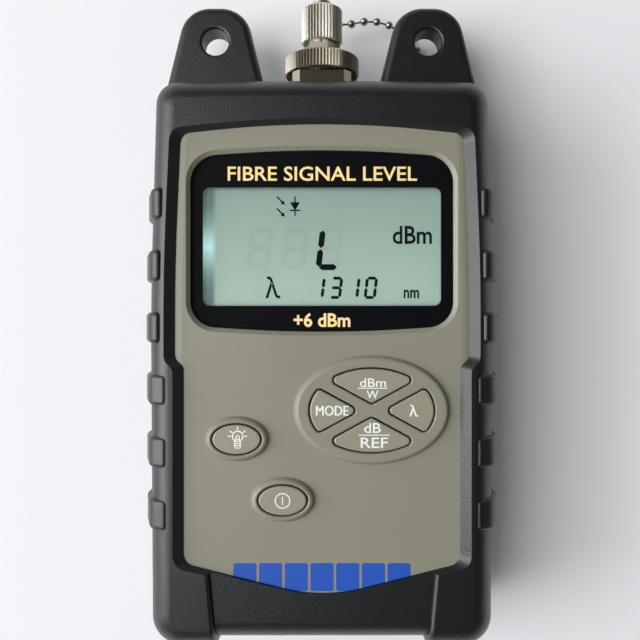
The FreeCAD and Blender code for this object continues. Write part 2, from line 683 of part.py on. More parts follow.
def rear_case():
    """Rear shell with the battery bay, the screw bosses and the seat of the door."""
    floor_z = CASE_BACK_Z + CASE_WALL
    shell = case_form(0.0).common(box((-BEYOND, -BEYOND, 0),
                                       (BEYOND, BEYOND, SPLIT_Z - MOULD_GAP / 2)))
    shell = shell.cut(body_slab(-CASE_WALL, floor_z, SPLIT_Z))
    bay = box((-BAY_HALF - BAY_WALL, BAY_Y[0], CASE_BACK_Z + 1),
              (BAY_HALF + BAY_WALL, BAY_Y[1], BAY_TOP_Z + BAY_WALL))
    tongue = split_ring(0.8, 1.7, SPLIT_Z - 1, SPLIT_Z + TONGUE_HEIGHT)
    bosses = [rod(CASE_BOSS_RADIUS, (x, y, floor_z - 1), (0, 0, 1), SPLIT_Z - floor_z + 1 - MOULD_GAP)
              for x, y in four(CASE_SCREW_X, CASE_SCREW_Y)]
    bosses.append(rod(DOOR_SCREW_BOSS, (0, DOOR_SCREW_Y, floor_z - 1), (0, 0, 1), 9.0))
    shell = fuse([shell, bay, tongue] + bosses)

    inner_y = (BAY_Y[0] + BAY_WALL, BAY_Y[1] - BAY_WALL)
    tools = [box((-BAY_HALF, inner_y[0], 0), (BAY_HALF, inner_y[1], BAY_TOP_Z))]
    tools.append(slab(rectangle(DOOR_HALF + DOOR_GAP, DOOR_Y[0] - DOOR_GAP, DOOR_Y[1] + DOOR_GAP, 1.5),
                      0, DOOR_TOP_Z + 0.05))
    for x in (-DOOR_TAB_X, DOOR_TAB_X):
        half = DOOR_TAB_WIDTH / 2 + DOOR_GAP
        tools.append(box((x - half, DOOR_Y[1], CASE_BACK_Z + 0.8),
                         (x + half, DOOR_Y[1] + DOOR_TAB + DOOR_GAP, DOOR_TOP_Z + 0.05)))
    for x, y in four(CASE_SCREW_X, CASE_SCREW_Y):
        tools.append(rod(CASE_SCREW_RADIUS + SCREW_GAP, (x, y, 0), (0, 0, 1), SPLIT_Z + 1))
        tools.append(rod(CASE_SCREW_HEAD_RADIUS + SCREW_GAP, (x, y, 0), (0, 0, 1),
                         CASE_BACK_Z + CASE_SCREW_HEAD + 0.3))
    tools.append(rod(BOARD_SCREW_RADIUS + SCREW_GAP, (0, DOOR_SCREW_Y, 0), (0, 0, 1), 10.0))
    tools.append(port_rod(NECK_RADIUS + THREAD_GAP, STEM_START, BLOCK_END))
    tools.append(rod(TAB_SCREW_RADIUS + SCREW_GAP, (ANCHOR_X, CASE_END_Y - TAB_SCREW_REACH, ANCHOR_SCREW_Z),
                     (0, 1, 0), 2 * TAB_SCREW_REACH))
    return cut(shell, tools)


def battery_door():
    """Door over the battery bay: two hooks at one end, one screw at the other."""
    plate = slab(rectangle(DOOR_HALF, DOOR_Y[0], DOOR_Y[1], 1.4), CASE_BACK_Z, DOOR_TOP_Z)
    hooks = [box((x - DOOR_TAB_WIDTH / 2, DOOR_Y[1] - 1, CASE_BACK_Z + 0.9),
                 (x + DOOR_TAB_WIDTH / 2, DOOR_Y[1] + DOOR_TAB, DOOR_TOP_Z))
             for x in (-DOOR_TAB_X, DOOR_TAB_X)]
    door = fuse([plate] + hooks)
    tools = [rod(BOARD_SCREW_RADIUS + SCREW_GAP, (0, DOOR_SCREW_Y, 0), (0, 0, 1), 10)]
    tools.append(rod(BOARD_SCREW_HEAD_RADIUS + SCREW_GAP, (0, DOOR_SCREW_Y, 0), (0, 0, 1),
                     CASE_BACK_Z + 1.0))
    ridges = [box((-12, y, 0), (12, y + 0.7, CASE_BACK_Z + 0.4)) for y in (-12.0, -9.6, -7.2)]
    return cut(door, tools + ridges)


# ================================================================ boot
def boot_rubber():
    """The boot with its grips, strap lugs, bumpers and openings."""
    body = fuse([boot_form(0.0)] + [lug(side) for side in (-1, 1)]
                + [grip(side, n) for side in (-1, 1) for n in range(GRIP_COUNT)])
    end_y = CASE_BOTTOM - BOOT_GROW
    lip = outline([(-BUMPER_HALF_TOP, BUMPER_TOP_Y, 0), (BUMPER_HALF_TOP, BUMPER_TOP_Y, 0),
                   (BUMPER_HALF_END, end_y - 5, 0), (-BUMPER_HALF_END, end_y - 5, 0)], GRIP_BACK_Z)
    body = body.cut(prism(lip, BOOT_RIM_Z).cut(boot_form(BUMPER_STEP)))
    body = rounded(body, BUMPER_ROUND,
                   lambda b: b.YMax < BUMPER_TOP_Y + 1 and b.ZMax > BOOT_RIM_Z - 0.01
                   and b.XLength < 2 and abs(abs(b.Center.x) - BUMPER_HALF_END) < 2)
    tools = [case_form(BOOT_FIT)]
    tools.append(Part.makeLoft([outline(opening(0.0, 0.0, 0.0), CASE_FRONT_Z - 0.4),
                                outline(opening(BEVEL_UPPER, BEVEL_LOWER, BEVEL_ENDS), BOOT_RIM_Z + 0.1)],
                               True, True))
    slot = outline(rectangle(PORT_SLOT_HALF, PORT_SLOT_Z[0], PORT_SLOT_Z[1], PORT_SLOT_RADIUS))
    slot.rotate(Vector(0, 0, 0), Vector(1, 0, 0), 90)
    slot.translate(Vector(0, CASE_END_Y + 8, 0))
    tools.append(Part.Face(slot).extrude(Vector(0, -12, 0)))
    tools.append(slab(rectangle(BACK_WINDOW_HALF, BACK_WINDOW_Y[0], BACK_WINDOW_Y[1],
                                BACK_WINDOW_RADIUS), -1, BOOT_BACK_WALL + 0.5))
    return cut(body, tools)


# ================================================================ display stack
def display_window():
    """Clear window that drops into the case's seat."""
    return slab(window_corners(0.0), WINDOW_BACK_Z, WINDOW_TOP_Z)


def lcd_gasket():
    """Foam frame between the case and the glass."""
    outer = display_slab(LCD_HALF, LCD_HALF_HEIGHT - 1.6, 1.0, LCD_TOP_Z, CASE_INNER_FRONT_Z)
    return outer.cut(display_slab(LCD_HALF - GASKET_WIDTH + 0.6, LCD_HALF_HEIGHT - 1.6 - GASKET_WIDTH,
                                  0.8, LCD_TOP_Z, CASE_INNER_FRONT_Z))


def lcd_panel():
    """Two bonded glass plates; the rear one is longer, for the contacts."""
    half = LCD_THICKNESS / 2
    rear = display_slab(LCD_HALF, LCD_HALF_HEIGHT, 0.3, LCD_BACK_Z, LCD_BACK_Z + half)
    front = display_slab(LCD_HALF, LCD_HALF_HEIGHT - 1.4, 0.3, LCD_BACK_Z + half, LCD_TOP_Z)
    return fuse([rear, front])


def backlight_guide():
    """Acrylic plate behind the glass."""
    return display_slab(LCD_HALF - GUIDE_INSET, LCD_HALF_HEIGHT - BACKLIGHT_MARGIN, 0.5,
                        BOARD_TOP_Z + 0.1, LCD_BACK_Z - BACKLIGHT_GAP)


def backlight_leds():
    """Three side-lighting lamps at the left end of the acrylic plate."""
    high_x = GUIDE_INSET - LAMP_GAP - LCD_HALF
    width, length, height = LAMP_SIZE
    return Part.makeCompound([box((high_x - width, DISPLAY_Y + y - length / 2, BOARD_TOP_Z),
                                  (high_x, DISPLAY_Y + y + length / 2, BOARD_TOP_Z + height))
                              for y in (-LAMP_SPACING, 0, LAMP_SPACING)])


def lcd_holder():
    """Frame that keeps the glass, the contact strips and the light plate in line."""
    low_z = BOARD_TOP_Z
    high_z = LCD_BACK_Z + 1.0
    outer = display_slab(BOARD_HALF, LCD_HALF_HEIGHT + LCD_FIT + HOLDER_WALL, 1.5, low_z, high_z)
    frame = outer.cut(display_slab(LCD_HALF + LCD_FIT, LCD_HALF_HEIGHT + LCD_FIT, 0.4, low_z, high_z))
    rib_y = LCD_HALF_HEIGHT - BACKLIGHT_MARGIN + 0.2
    ribs = [box((-LCD_HALF - 0.5, DISPLAY_Y + side * rib_y + min(side, 0) * 0.6, low_z),
                (LCD_HALF + 0.5, DISPLAY_Y + side * rib_y + max(side, 0) * 0.6, LCD_BACK_Z - 0.05))
            for side in (-1, 1)]
    return fuse([frame] + ribs)


def zebra_strips():
    """Two elastomer strips from the board to the glass."""
    mid = LCD_HALF_HEIGHT - ZEBRA_WIDTH / 2 - 0.2
    return Part.makeCompound([box((-LCD_HALF + 1, DISPLAY_Y + side * mid - ZEBRA_WIDTH / 2, BOARD_TOP_Z),
                                  (LCD_HALF - 1, DISPLAY_Y + side * mid + ZEBRA_WIDTH / 2, LCD_BACK_Z))
                              for side in (-1, 1)])


# ================================================================ board and keypad
def main_board():
    """Printed board under the display and the keys."""
    board = slab(rectangle(BOARD_HALF, BOARD_Y[0], BOARD_Y[1], BOARD_CORNER),
                 BOARD_BACK_Z, BOARD_TOP_Z)
    return cut(board, [rod(BOARD_SCREW_RADIUS + 0.2, (x, y, 0), (0, 0, 1), 40)
                       for x, y in four(BOARD_SCREW_X, BOARD_SCREW_Y)])


def board_components():
    """Parts soldered to the board's underside, taller ones beyond the battery bay."""
    under = BOARD_BACK_Z
    chips = [(-10.0, -22.0, 14.0, 14.0, 1.4), (9.0, -18.0, 7.5, 10.0, 1.6), (9.0, -34.0, 6.0, 5.0, 1.5),
             (-12.0, -42.0, 8.0, 3.2, 1.5), (-9.0, 14.0, 10.0, 10.0, 2.4), (7.0, 12.0, 6.2, 5.0, 1.7),
             (17.0, 18.0, 6.0, 6.0, 3.0), (-20.0, 26.0, 4.5, 12.0, 4.0), (0.0, 34.0, 9.0, 4.5, 3.6)]
    solids = [box((x - w / 2, y - d / 2, under - h), (x + w / 2, y + d / 2, under))
              for x, y, w, d, h in chips]
    for x, y, radius, height in ((19.0, 7.0, 3.15, 8.0), (-20.0, 9.0, 4.0, 9.5), (-2.5, 24.0, 2.0, 6.0)):
        solids.append(rod(radius, (x, y, under), (0, 0, -1), height))
    return Part.makeCompound(solids)


def keypad_mat(centres):
    """Silicone sheet with a hollow dome and a plunger under each key."""
    sheet = slab(rectangle(MAT_HALF, MAT_Y[0], MAT_Y[1], 2.0), MAT_BACK_Z, MAT_TOP_Z)
    height = FLANGE_BACK_Z - MAT_TOP_Z
    domes = [Part.makeCone(DOME_BASE, DOME_POST, height, Vector(x, y, MAT_TOP_Z)) for x, y in centres]
    mat = fuse([sheet] + domes)
    plunger_z = PILL_BACK_Z + PILL_THICKNESS
    tools = []
    for x, y in centres:
        hollow = Part.makeCone(DOME_BASE - DOME_WEB, DOME_POST + 0.2, height - 1.2, Vector(x, y, MAT_TOP_Z))
        well = rod(DOME_BASE - DOME_WEB, (x, y, MAT_BACK_Z), (0, 0, 1), MAT_THICKNESS)
        plunger = rod(PILL_RADIUS, (x, y, plunger_z), (0, 0, 1), height + 2)
        tools.append(hollow.fuse(well).cut(plunger))
    return cut(mat, tools)


def contact_pills(centres):
    """Carbon pill under each plunger."""
    return Part.makeCompound([rod(PILL_RADIUS, (x, y, PILL_BACK_Z), (0, 0, 1), PILL_THICKNESS)
                              for x, y in centres])


# ================================================================ batteries and their contacts
def batteries():
    """Three cells side by side, the middle one the other way round."""
    cells = []
    low_y = BAY_Y[0] + BAY_WALL + CONTACT_BOW + CONTACT_THICKNESS
    for n, x in enumerate((-CELL_SPACING, 0.0, CELL_SPACING)):
        can = rod(CELL_RADIUS, (x, low_y, CELL_Z), (0, 1, 0), CELL_LENGTH)
        can = rounded(can, 0.6, lambda b: b.YLength < 1e-4 and b.XLength > 2)
        button = rod(CELL_BUTTON_RADIUS, (x, low_y + CELL_LENGTH - 0.1, CELL_Z), (0, 1, 0), CELL_BUTTON + 0.1)
        cell = can.fuse(button).Solids[0]
        if n == 1:
            middle = (BAY_Y[0] + BAY_Y[1]) / 2
            cell.rotate(Vector(x, middle, CELL_Z), Vector(0, 0, 1), 180)
        cells.append(cell)
    return Part.makeCompound(cells)


def bay_plate(x, end):
    """Flat contact against one end wall of the bay."""
    wall = BAY_Y[0] + BAY_WALL if end < 0 else BAY_Y[1] - BAY_WALL - CONTACT_THICKNESS
    return box((x - CONTACT_WIDTH / 2, wall, CELL_Z - 5), (x + CONTACT_WIDTH / 2, wall + CONTACT_THICKNESS,
                                                           CELL_Z + 5))


def bay_leaf(x, end):
    """Bowed spring contact at one end wall of the bay."""
    wall = BAY_Y[0] + BAY_WALL if end < 0 else BAY_Y[1] - BAY_WALL
    bow = -end * (CONTACT_BOW - 0.1)
    thick = -end * CONTACT_THICKNESS
    points = [(wall, CELL_Z - 5.5), (wall + bow, CELL_Z), (wall, CELL_Z + 5.5)]
    outer = [Vector(x - CONTACT_WIDTH / 2, y + thick, z) for y, z in points]
    inner = [Vector(x - CONTACT_WIDTH / 2, y, z) for y, z in points]
    edges = [Part.Arc(*outer).toShape(), Part.LineSegment(outer[2], inner[2]).toShape(),
             Part.Arc(*inner).toShape(), Part.LineSegment(inner[0], outer[0]).toShape()]
    face = Part.Face(Part.Wire(Part.__sortEdges__(edges)))
    return face.extrude(Vector(CONTACT_WIDTH, 0, 0))


def battery_springs():
    """Bowed contacts at the cells' flat ends."""
    return Part.makeCompound([bay_leaf(-CELL_SPACING, -1), bay_leaf(0.0, 1), bay_leaf(CELL_SPACING, -1)])


def battery_plates():
    """Flat contacts at the cells' buttons."""
    return Part.makeCompound([bay_plate(-CELL_SPACING, 1), bay_plate(0.0, -1), bay_plate(CELL_SPACING, 1)])


# ================================================================ screws
def screw(x, y, head_z, head_radius, head, shank_radius, tip_z):
    """Cross-recess screw that enters along +Z, its head at the back."""
    body = fuse([rod(head_radius, (x, y, head_z), (0, 0, 1), head),
                 rod(shank_radius, (x, y, head_z + head), (0, 0, 1), tip_z - head_z - head)])
    arm = head_radius * 0.6
    slots = [box((x - arm, y - 0.25, head_z), (x + arm, y + 0.25, head_z + head * 0.5)),
             box((x - 0.25, y - arm, head_z), (x + 0.25, y + arm, head_z + head * 0.5))]
    return cut(body, slots)


def case_screws():
    """Four screws that close the two shells."""
    return Part.makeCompound([
        screw(x, y, CASE_BACK_Z + 0.3, CASE_SCREW_HEAD_RADIUS, CASE_SCREW_HEAD, CASE_SCREW_RADIUS,
              SPLIT_Z + CASE_SCREW_REACH) for x, y in four(CASE_SCREW_X, CASE_SCREW_Y)])


def board_screws():
    """Four screws that hold the board to the front shell."""
    return Part.makeCompound([
        screw(x, y, BOARD_BACK_Z - BOARD_SCREW_HEAD, BOARD_SCREW_HEAD_RADIUS, BOARD_SCREW_HEAD,
              BOARD_SCREW_RADIUS, BOARD_TOP_Z + BOARD_SCREW_REACH)
        for x, y in four(BOARD_SCREW_X, BOARD_SCREW_Y)])


def door_screw():
    """Screw of the battery door."""
    return screw(0.0, DOOR_SCREW_Y, CASE_BACK_Z + 0.1, BOARD_SCREW_HEAD_RADIUS, 0.9,
                 BOARD_SCREW_RADIUS, CASE_BACK_Z + 7.0)


# ================================================================ fibre port
def knurled(radius, low_y, high_y, count):
    """Straight-knurled cylinder on the port's axis, chamfered at both ends."""
    points = []
    for n in range(2 * count):
        angle = math.pi * n / count
        reach = radius if n % 2 else radius - KNURL_DEPTH
        points.append(Vector(reach * math.cos(angle), low_y, PORT_Z + reach * math.sin(angle)))
    star = Part.Face(Part.makePolygon(points + [points[0]])).extrude(Vector(0, high_y - low_y, 0))
    blank = port_turned([(0, low_y), (radius - KNURL_END, low_y), (radius, low_y + KNURL_END),
                         (radius, high_y - KNURL_END), (radius - KNURL_END, high_y), (0, high_y)])
    return star.common(blank)


def hex_rod(flats, low_y, high_y, turn):
    """Hexagonal rod on the port's axis."""
    radius = flats / math.sqrt(3)
    points = [Vector(radius * math.cos(math.radians(turn + 60 * n)), low_y,
                     PORT_Z + radius * math.sin(math.radians(turn + 60 * n))) for n in range(7)]
    return Part.Face(Part.makePolygon(points)).extrude(Vector(0, high_y - low_y, 0))


def port_body():
    """Detector housing: square block, threaded spigot in front, threaded stem into the case."""
    corner = BLOCK_HALF - BLOCK_CHAMFER
    plan = [(BLOCK_HALF, corner), (corner, BLOCK_HALF), (-corner, BLOCK_HALF), (-BLOCK_HALF, corner),
            (-BLOCK_HALF, -corner), (-corner, -BLOCK_HALF), (corner, -BLOCK_HALF), (BLOCK_HALF, -corner)]
    points = [Vector(x, BLOCK_START, PORT_Z + z) for x, z in plan]
    block = Part.Face(Part.makePolygon(points + [points[0]])).extrude(Vector(0, BLOCK_END - BLOCK_START, 0))
    body = fuse([block, port_rod(SPIGOT_RADIUS, BLOCK_END - 0.5, SPIGOT_END),
                 port_rod(NECK_RADIUS, STEM_START, BLOCK_START + 0.5)])
    can_seat = SPIGOT_END - CAN_LENGTH - 0.6
    return cut(body, [port_rod(CAN_FLANGE_RADIUS + 0.1, can_seat, SPIGOT_END),
                      port_rod(CAN_RADIUS - 0.4, STEM_START, can_seat)])


def port_nut():
    """Nut inside the case."""
    high_y = CASE_TOP - CASE_WALL - WASHER_THICKNESS - 0.15
    nut = hex_rod(NUT_FLATS, high_y - NUT_THICKNESS, high_y, 0.0)
    return nut.cut(port_rod(NECK_RADIUS + THREAD_GAP, STEM_START, BLOCK_END))


def port_washer():
    """Washer between the nut and the shells."""
    high_y = CASE_TOP - CASE_WALL - 0.1
    washer = port_rod(WASHER_RADIUS, high_y - WASHER_THICKNESS, high_y)
    return washer.cut(port_rod(NECK_RADIUS + THREAD_GAP, STEM_START, BLOCK_END))


def lead_rods(radius, low_y, high_y):
    """Rods in the places of the photodiode's leads."""
    angles = [math.radians(degrees) for degrees in LEAD_ANGLES]
    return [rod(radius, (LEAD_CIRCLE * math.cos(a), low_y, PORT_Z + LEAD_CIRCLE * math.sin(a)),
                (0, 1, 0), high_y - low_y) for a in angles]


def photodiode():
    """Metal-can photodiode with its leads."""
    front = SPIGOT_END - 0.3
    can = port_rod(CAN_RADIUS, front - CAN_LENGTH, front)
    flange = port_rod(CAN_FLANGE_RADIUS, front - CAN_LENGTH - 0.2, front - CAN_LENGTH + CAN_FLANGE - 0.2)
    back = STEM_START - PREAMP_DISTANCE - LEAD_BEYOND
    leads = lead_rods(LEAD_RADIUS, back, front - CAN_LENGTH)
    body = fuse([can, flange] + leads)
    return body.cut(port_rod(CAN_RADIUS - 0.9, front - 0.5, front))


def preamp_board():
    """Small amplifier board on the photodiode's leads."""
    low_y = STEM_START - PREAMP_DISTANCE
    board = box((-PREAMP_HALF, low_y, PORT_Z - PREAMP_HALF),
                (PREAMP_HALF, low_y + PREAMP_THICKNESS, PORT_Z + PREAMP_HALF - 1.2))
    chip = box((-2.5, low_y - 1.4, PORT_Z - 5.4), (2.5, low_y, PORT_Z - 2.4))
    return cut(fuse([board, chip]), lead_rods(LEAD_RADIUS + 0.04, low_y - 3, low_y + 3))


def adapter_ring():
    """Knurled ring nut that clamps the adapter to the spigot."""
    ring = knurled(RING_RADIUS, RING_START, RING_END, RING_KNURL_COUNT)
    lip_y = RING_END - RING_LIP
    neck = HEX_FLATS / math.sqrt(3) + 0.35
    return cut(ring, [port_rod(RING_BORE, RING_START - 1, lip_y), port_rod(neck, lip_y - 1, RING_END + 1)])


def fibre_adapter():
    """Adapter: flange under the ring, hexagonal neck, threaded nose with a keyway."""
    lip_y = RING_END - RING_LIP - 0.1
    flange = port_rod(ADAPTER_FLANGE_RADIUS, FLANGE_START, lip_y)
    neck = hex_rod(HEX_FLATS, lip_y - 0.4, HEX_END, HEX_TURN)
    nose = port_rod(NOSE_RADIUS, HEX_END - 0.4, NOSE_END)
    nose = nose.makeChamfer(0.3, [e for e in nose.Edges if abs(e.BoundBox.YMin - NOSE_END) < 1e-3
                                  and e.BoundBox.YLength < 1e-3])
    body = fuse([flange, neck, nose])
    bore = port_rod(FERRULE_RADIUS + 0.02, FLANGE_START - 1, NOSE_END + 1)
    mouth = port_rod(2.9, HEX_END + 1.2, NOSE_END + 1).cut(port_rod(2.1, HEX_END, NOSE_END - 1.2))
    keyway = box((-KEYWAY_WIDTH / 2, NOSE_END - KEYWAY_DEPTH, PORT_Z + 2.4),
                 (KEYWAY_WIDTH / 2, NOSE_END + 1, PORT_Z + 5))
    return cut(body, [bore, mouth, keyway])


def dust_cap():
    """Knurled cap with a grooved stem for the chain's eyelet."""
    cap = knurled(CAP_RADIUS, CAP_START, CAP_END, CAP_KNURL_COUNT)
    stem = port_turned([(0, CAP_END - 0.3), (CAP_STEM_RADIUS, CAP_END - 0.3),
                        (CAP_STEM_RADIUS, GROOVE_Y - GROOVE_WIDTH / 2),
                        (GROOVE_FLOOR, GROOVE_Y - GROOVE_WIDTH / 2),
                        (GROOVE_FLOOR, GROOVE_Y + GROOVE_WIDTH / 2),
                        (CAP_STEM_RADIUS, GROOVE_Y + GROOVE_WIDTH / 2),
                        (CAP_STEM_RADIUS, STEM_END - 0.4), (CAP_STEM_RADIUS - 0.4, STEM_END), (0, STEM_END)])
    return fuse([cap, stem]).cut(port_rod(NOSE_RADIUS + THREAD_GAP, CAP_START - 1, CAP_END - CAP_END_WALL))


# ================================================================ bead chain
ANCHOR_X = 9.5
ANCHOR_SCREW_Z = 11.6
ANCHOR_FOOT_Z = 8.6
ANCHOR_HOLE_Y = BOOT_END_Y + 2.0
EAR_HOLE_Z = PORT_Z - EYELET_EAR
ANCHOR_RING = Vector(ANCHOR_X, ANCHOR_HOLE_Y + CHAIN_RING_RADIUS, ANCHOR_FOOT_Z + EYELET_THICKNESS / 2)
EAR_RING = Vector(0, GROOVE_Y, EAR_HOLE_Z - CHAIN_RING_RADIUS)
RING_REACH = Vector(0, 0, CHAIN_RING_RADIUS + CHAIN_RING_WIRE)
CHAIN_ROUTE = [ANCHOR_RING - RING_REACH, Vector(10.4, 60.0, 3.4), Vector(14.0, 62.0, 1.06),
               Vector(19.6, 63.4, 1.06), Vector(24.4, 67.0, 1.06), Vector(25.8, 71.6, 1.06),
               Vector(22.8, 75.0, 2.4), Vector(18.6, 77.2, 4.2), Vector(14.4, 78.1, 5.2),
               Vector(10.2, 77.8, 5.8), Vector(5.4, 76.7, 6.6), Vector(1.8, GROOVE_Y, 8.8),
               EAR_RING - RING_REACH]


def cap_eyelet():
    """Loose eyelet in the stem's groove, its ear hanging down."""
    low_y = GROOVE_Y - EYELET_THICKNESS / 2
    high_y = GROOVE_Y + EYELET_THICKNESS / 2
    ear = rod(1.3, (0, low_y, EAR_HOLE_Z), (0, 1, 0), EYELET_THICKNESS)
    strap = box((-1.1, low_y, EAR_HOLE_Z), (1.1, high_y, PORT_Z - 1.0))
    plate = fuse([port_rod(EYELET_RADIUS, low_y, high_y), strap, ear])
    hole = rod(LINK_RADIUS + 0.25, (0, low_y - 1, EAR_HOLE_Z), (0, 1, 0), 3)
    return cut(plate, [port_rod(GROOVE_FLOOR + 0.1, low_y - 1, high_y + 1), hole])


def chain_anchor():
    """Angle tab screwed to the case's end, with the chain's hole past the boot."""
    low_y = CASE_END_Y + 0.02
    plate = box((ANCHOR_X - 1.9, low_y, ANCHOR_FOOT_Z), (ANCHOR_X + 1.9, low_y + EYELET_THICKNESS,
                                                        ANCHOR_SCREW_Z + 2.1))
    foot = slab([(ANCHOR_X - 1.9, low_y, 0), (ANCHOR_X + 1.9, low_y, 0),
                 (ANCHOR_X + 1.6, ANCHOR_HOLE_Y + 1.4, 1.2), (ANCHOR_X - 1.6, ANCHOR_HOLE_Y + 1.4, 1.2)],
                ANCHOR_FOOT_Z, ANCHOR_FOOT_Z + EYELET_THICKNESS)
    tab = fuse([plate, foot])
    return cut(tab, [rod(TAB_SCREW_RADIUS + SCREW_GAP, (ANCHOR_X, low_y - 1, ANCHOR_SCREW_Z), (0, 1, 0), 5),
                     rod(LINK_RADIUS + 0.25, (ANCHOR_X, ANCHOR_HOLE_Y, 0), (0, 0, 1), 20)])


def chain_screw():
    """Screw of the chain's tab."""
    face_y = CASE_END_Y + 0.04 + EYELET_THICKNESS
    head = rod(TAB_SCREW_HEAD_RADIUS, (ANCHOR_X, face_y, ANCHOR_SCREW_Z), (0, 1, 0), TAB_SCREW_HEAD)
    shank = rod(TAB_SCREW_RADIUS, (ANCHOR_X, face_y - 4.2, ANCHOR_SCREW_Z), (0, 1, 0), 4.3)
    slot = box((ANCHOR_X - 2, face_y + 0.5, ANCHOR_SCREW_Z - 0.2), (ANCHOR_X + 2, face_y + 2, ANCHOR_SCREW_Z + 0.2))
    return fuse([head, shank]).cut(slot)


def chain_points():
    """Evenly spaced places along the chain: the anchor, every bead, the eyelet's ear."""
    curve = Part.BSplineCurve()
    curve.interpolate(CHAIN_ROUTE)
    count = round(curve.length() / BEAD_SPACING)
    places = curve.toShape().discretize(Number=count + 1)
    return [Vector(p.x, p.y, max(p.z, BEAD_RADIUS)) for p in places]


def bead(place, neighbours):
    """One bead with a hole towards each neighbour, its seam turned away from both."""
    headings = [(other - place).normalize() for other in neighbours]
    axis = headings[0].cross(headings[1])
    if axis.Length < 0.05:
        axis = headings[0].cross(Vector(0, 0, 1))
    side = axis.cross(headings[1] - headings[0])
    ball = Part.makeSphere(BEAD_RADIUS)
    ball.Placement = FreeCAD.Placement(place, FreeCAD.Rotation(side, axis.cross(side), axis, "ZXY"))
    return cut(ball, [Part.makeCylinder(LINK_RADIUS + 0.06, BEAD_RADIUS, place + heading * LINK_END, heading)
                      for heading in headings])


def chain_beads():
    """All the beads."""
    places = chain_points()
    return Part.makeCompound([bead(places[n], (places[n - 1], places[n + 1]))
                              for n in range(1, len(places) - 1)])


def chain_links():
    """Wires between the beads, and the small rings through the anchor and the ear."""
    places = chain_points()
    last = len(places) - 2
    wires = [Part.makeTorus(CHAIN_RING_RADIUS, CHAIN_RING_WIRE, centre, Vector(1, 0, 0))
             for centre in (ANCHOR_RING, EAR_RING)]
    for n in range(len(places) - 1):
        along = places[n + 1] - places[n]
        start = 0.0 if n == 0 else LINK_END
        end = along.Length - (0.0 if n == last else LINK_END)
        heading = Vector(along).normalize()
        wires.append(Part.makeCylinder(LINK_RADIUS, end - start, places[n] + heading * start, heading))
    return Part.makeCompound(wires)


# ================================================================ export
def pieces():
    """Every piece by its node's name."""
    forms = key_forms()
    centres = [key_centre(form) for form in forms.values()]
    made = {name: key(form) for name, form in forms.items()}
    made.update({
        "rubber_boot": boot_rubber(), "front_case": front_case(), "rear_case": rear_case(),
        "battery_door": battery_door(), "display_window": display_window(),
        "lcd_gasket": lcd_gasket(), "lcd_panel": lcd_panel(), "backlight_guide": backlight_guide(),
        "backlight_leds": backlight_leds(), "lcd_holder": lcd_holder(), "zebra_strips": zebra_strips(),
        "main_board": main_board(), "board_components": board_components(),
        "keypad_mat": keypad_mat(centres), "contact_pills": contact_pills(centres),
        "batteries": batteries(), "battery_springs": battery_springs(),
        "battery_plates": battery_plates(), "case_screws": case_screws(),
        "board_screws": board_screws(), "door_screw": door_screw(), "port_body": port_body(),
        "port_nut": port_nut(), "port_washer": port_washer(), "photodiode": photodiode(),
        "preamp_board": preamp_board(), "adapter_ring": adapter_ring(),
        "fibre_adapter": fibre_adapter(), "dust_cap": dust_cap(), "cap_eyelet": cap_eyelet(),
        "chain_anchor": chain_anchor(), "chain_screw": chain_screw(),
        "chain_beads": chain_beads(), "chain_links": chain_links(),
    })
    return made


def main():
    """Moves every piece to the shared origin and writes it."""
    os.makedirs("parts", exist_ok=True)
    for name, shape in pieces().items():
        shape.translate(Vector(0, OBJECT_SHIFT_Y, 0))
        shape.exportStep(f"parts/{name}.step")


main()
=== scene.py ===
"""Dresses a handheld optical power meter: finishes, display, printed legends, light and camera."""

import logging
import math
from contextlib import contextmanager
from dataclasses import dataclass
from enum import Enum
from typing import Callable, Iterator, NamedTuple, Optional

import bpy
from bpy.types import Material, Node, NodeSocket, Object, World
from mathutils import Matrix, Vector


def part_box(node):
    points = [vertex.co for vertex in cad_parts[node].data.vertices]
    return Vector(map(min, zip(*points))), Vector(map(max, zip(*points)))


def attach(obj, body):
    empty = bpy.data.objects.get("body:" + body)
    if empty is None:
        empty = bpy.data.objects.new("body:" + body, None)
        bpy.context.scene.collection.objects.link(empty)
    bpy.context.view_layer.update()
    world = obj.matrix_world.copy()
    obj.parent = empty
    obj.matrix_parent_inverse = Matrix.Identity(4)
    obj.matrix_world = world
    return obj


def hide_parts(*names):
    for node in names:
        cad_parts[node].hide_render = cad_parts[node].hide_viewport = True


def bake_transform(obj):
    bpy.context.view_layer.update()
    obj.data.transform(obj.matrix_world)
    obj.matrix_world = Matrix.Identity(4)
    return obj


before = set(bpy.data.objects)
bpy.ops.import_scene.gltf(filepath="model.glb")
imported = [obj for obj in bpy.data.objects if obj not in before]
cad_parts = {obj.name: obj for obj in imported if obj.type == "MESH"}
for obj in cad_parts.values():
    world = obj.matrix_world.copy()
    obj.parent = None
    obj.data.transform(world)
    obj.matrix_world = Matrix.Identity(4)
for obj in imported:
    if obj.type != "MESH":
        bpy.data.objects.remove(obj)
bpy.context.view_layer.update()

log = logging.getLogger("optical_power_meter")

MM = 0.001
METER = "meter"                 # the body that all still pieces belong to
PRINT_THICKNESS = 0.03 * MM
PRINT_SINK = 0.01 * MM          # how far print starts below the face that carries it
FONT_SHARE = 0.01               # of the font's size: a unit of weight, and the text's first thickness
CURVE_STEPS = 3                 # flats along each curve of a letter
ROUND_STEPS = 48                # flats round a full circle
MERGE = 0.001 * MM              # corners closer than this are one
UPRIGHT = math.pi / 2
UNIT_TRIANGLE_HEIGHT = 1.5      # of an even triangle whose corners are 1 from its centre

Colour = tuple[float, float, float]
Tree = Material | World


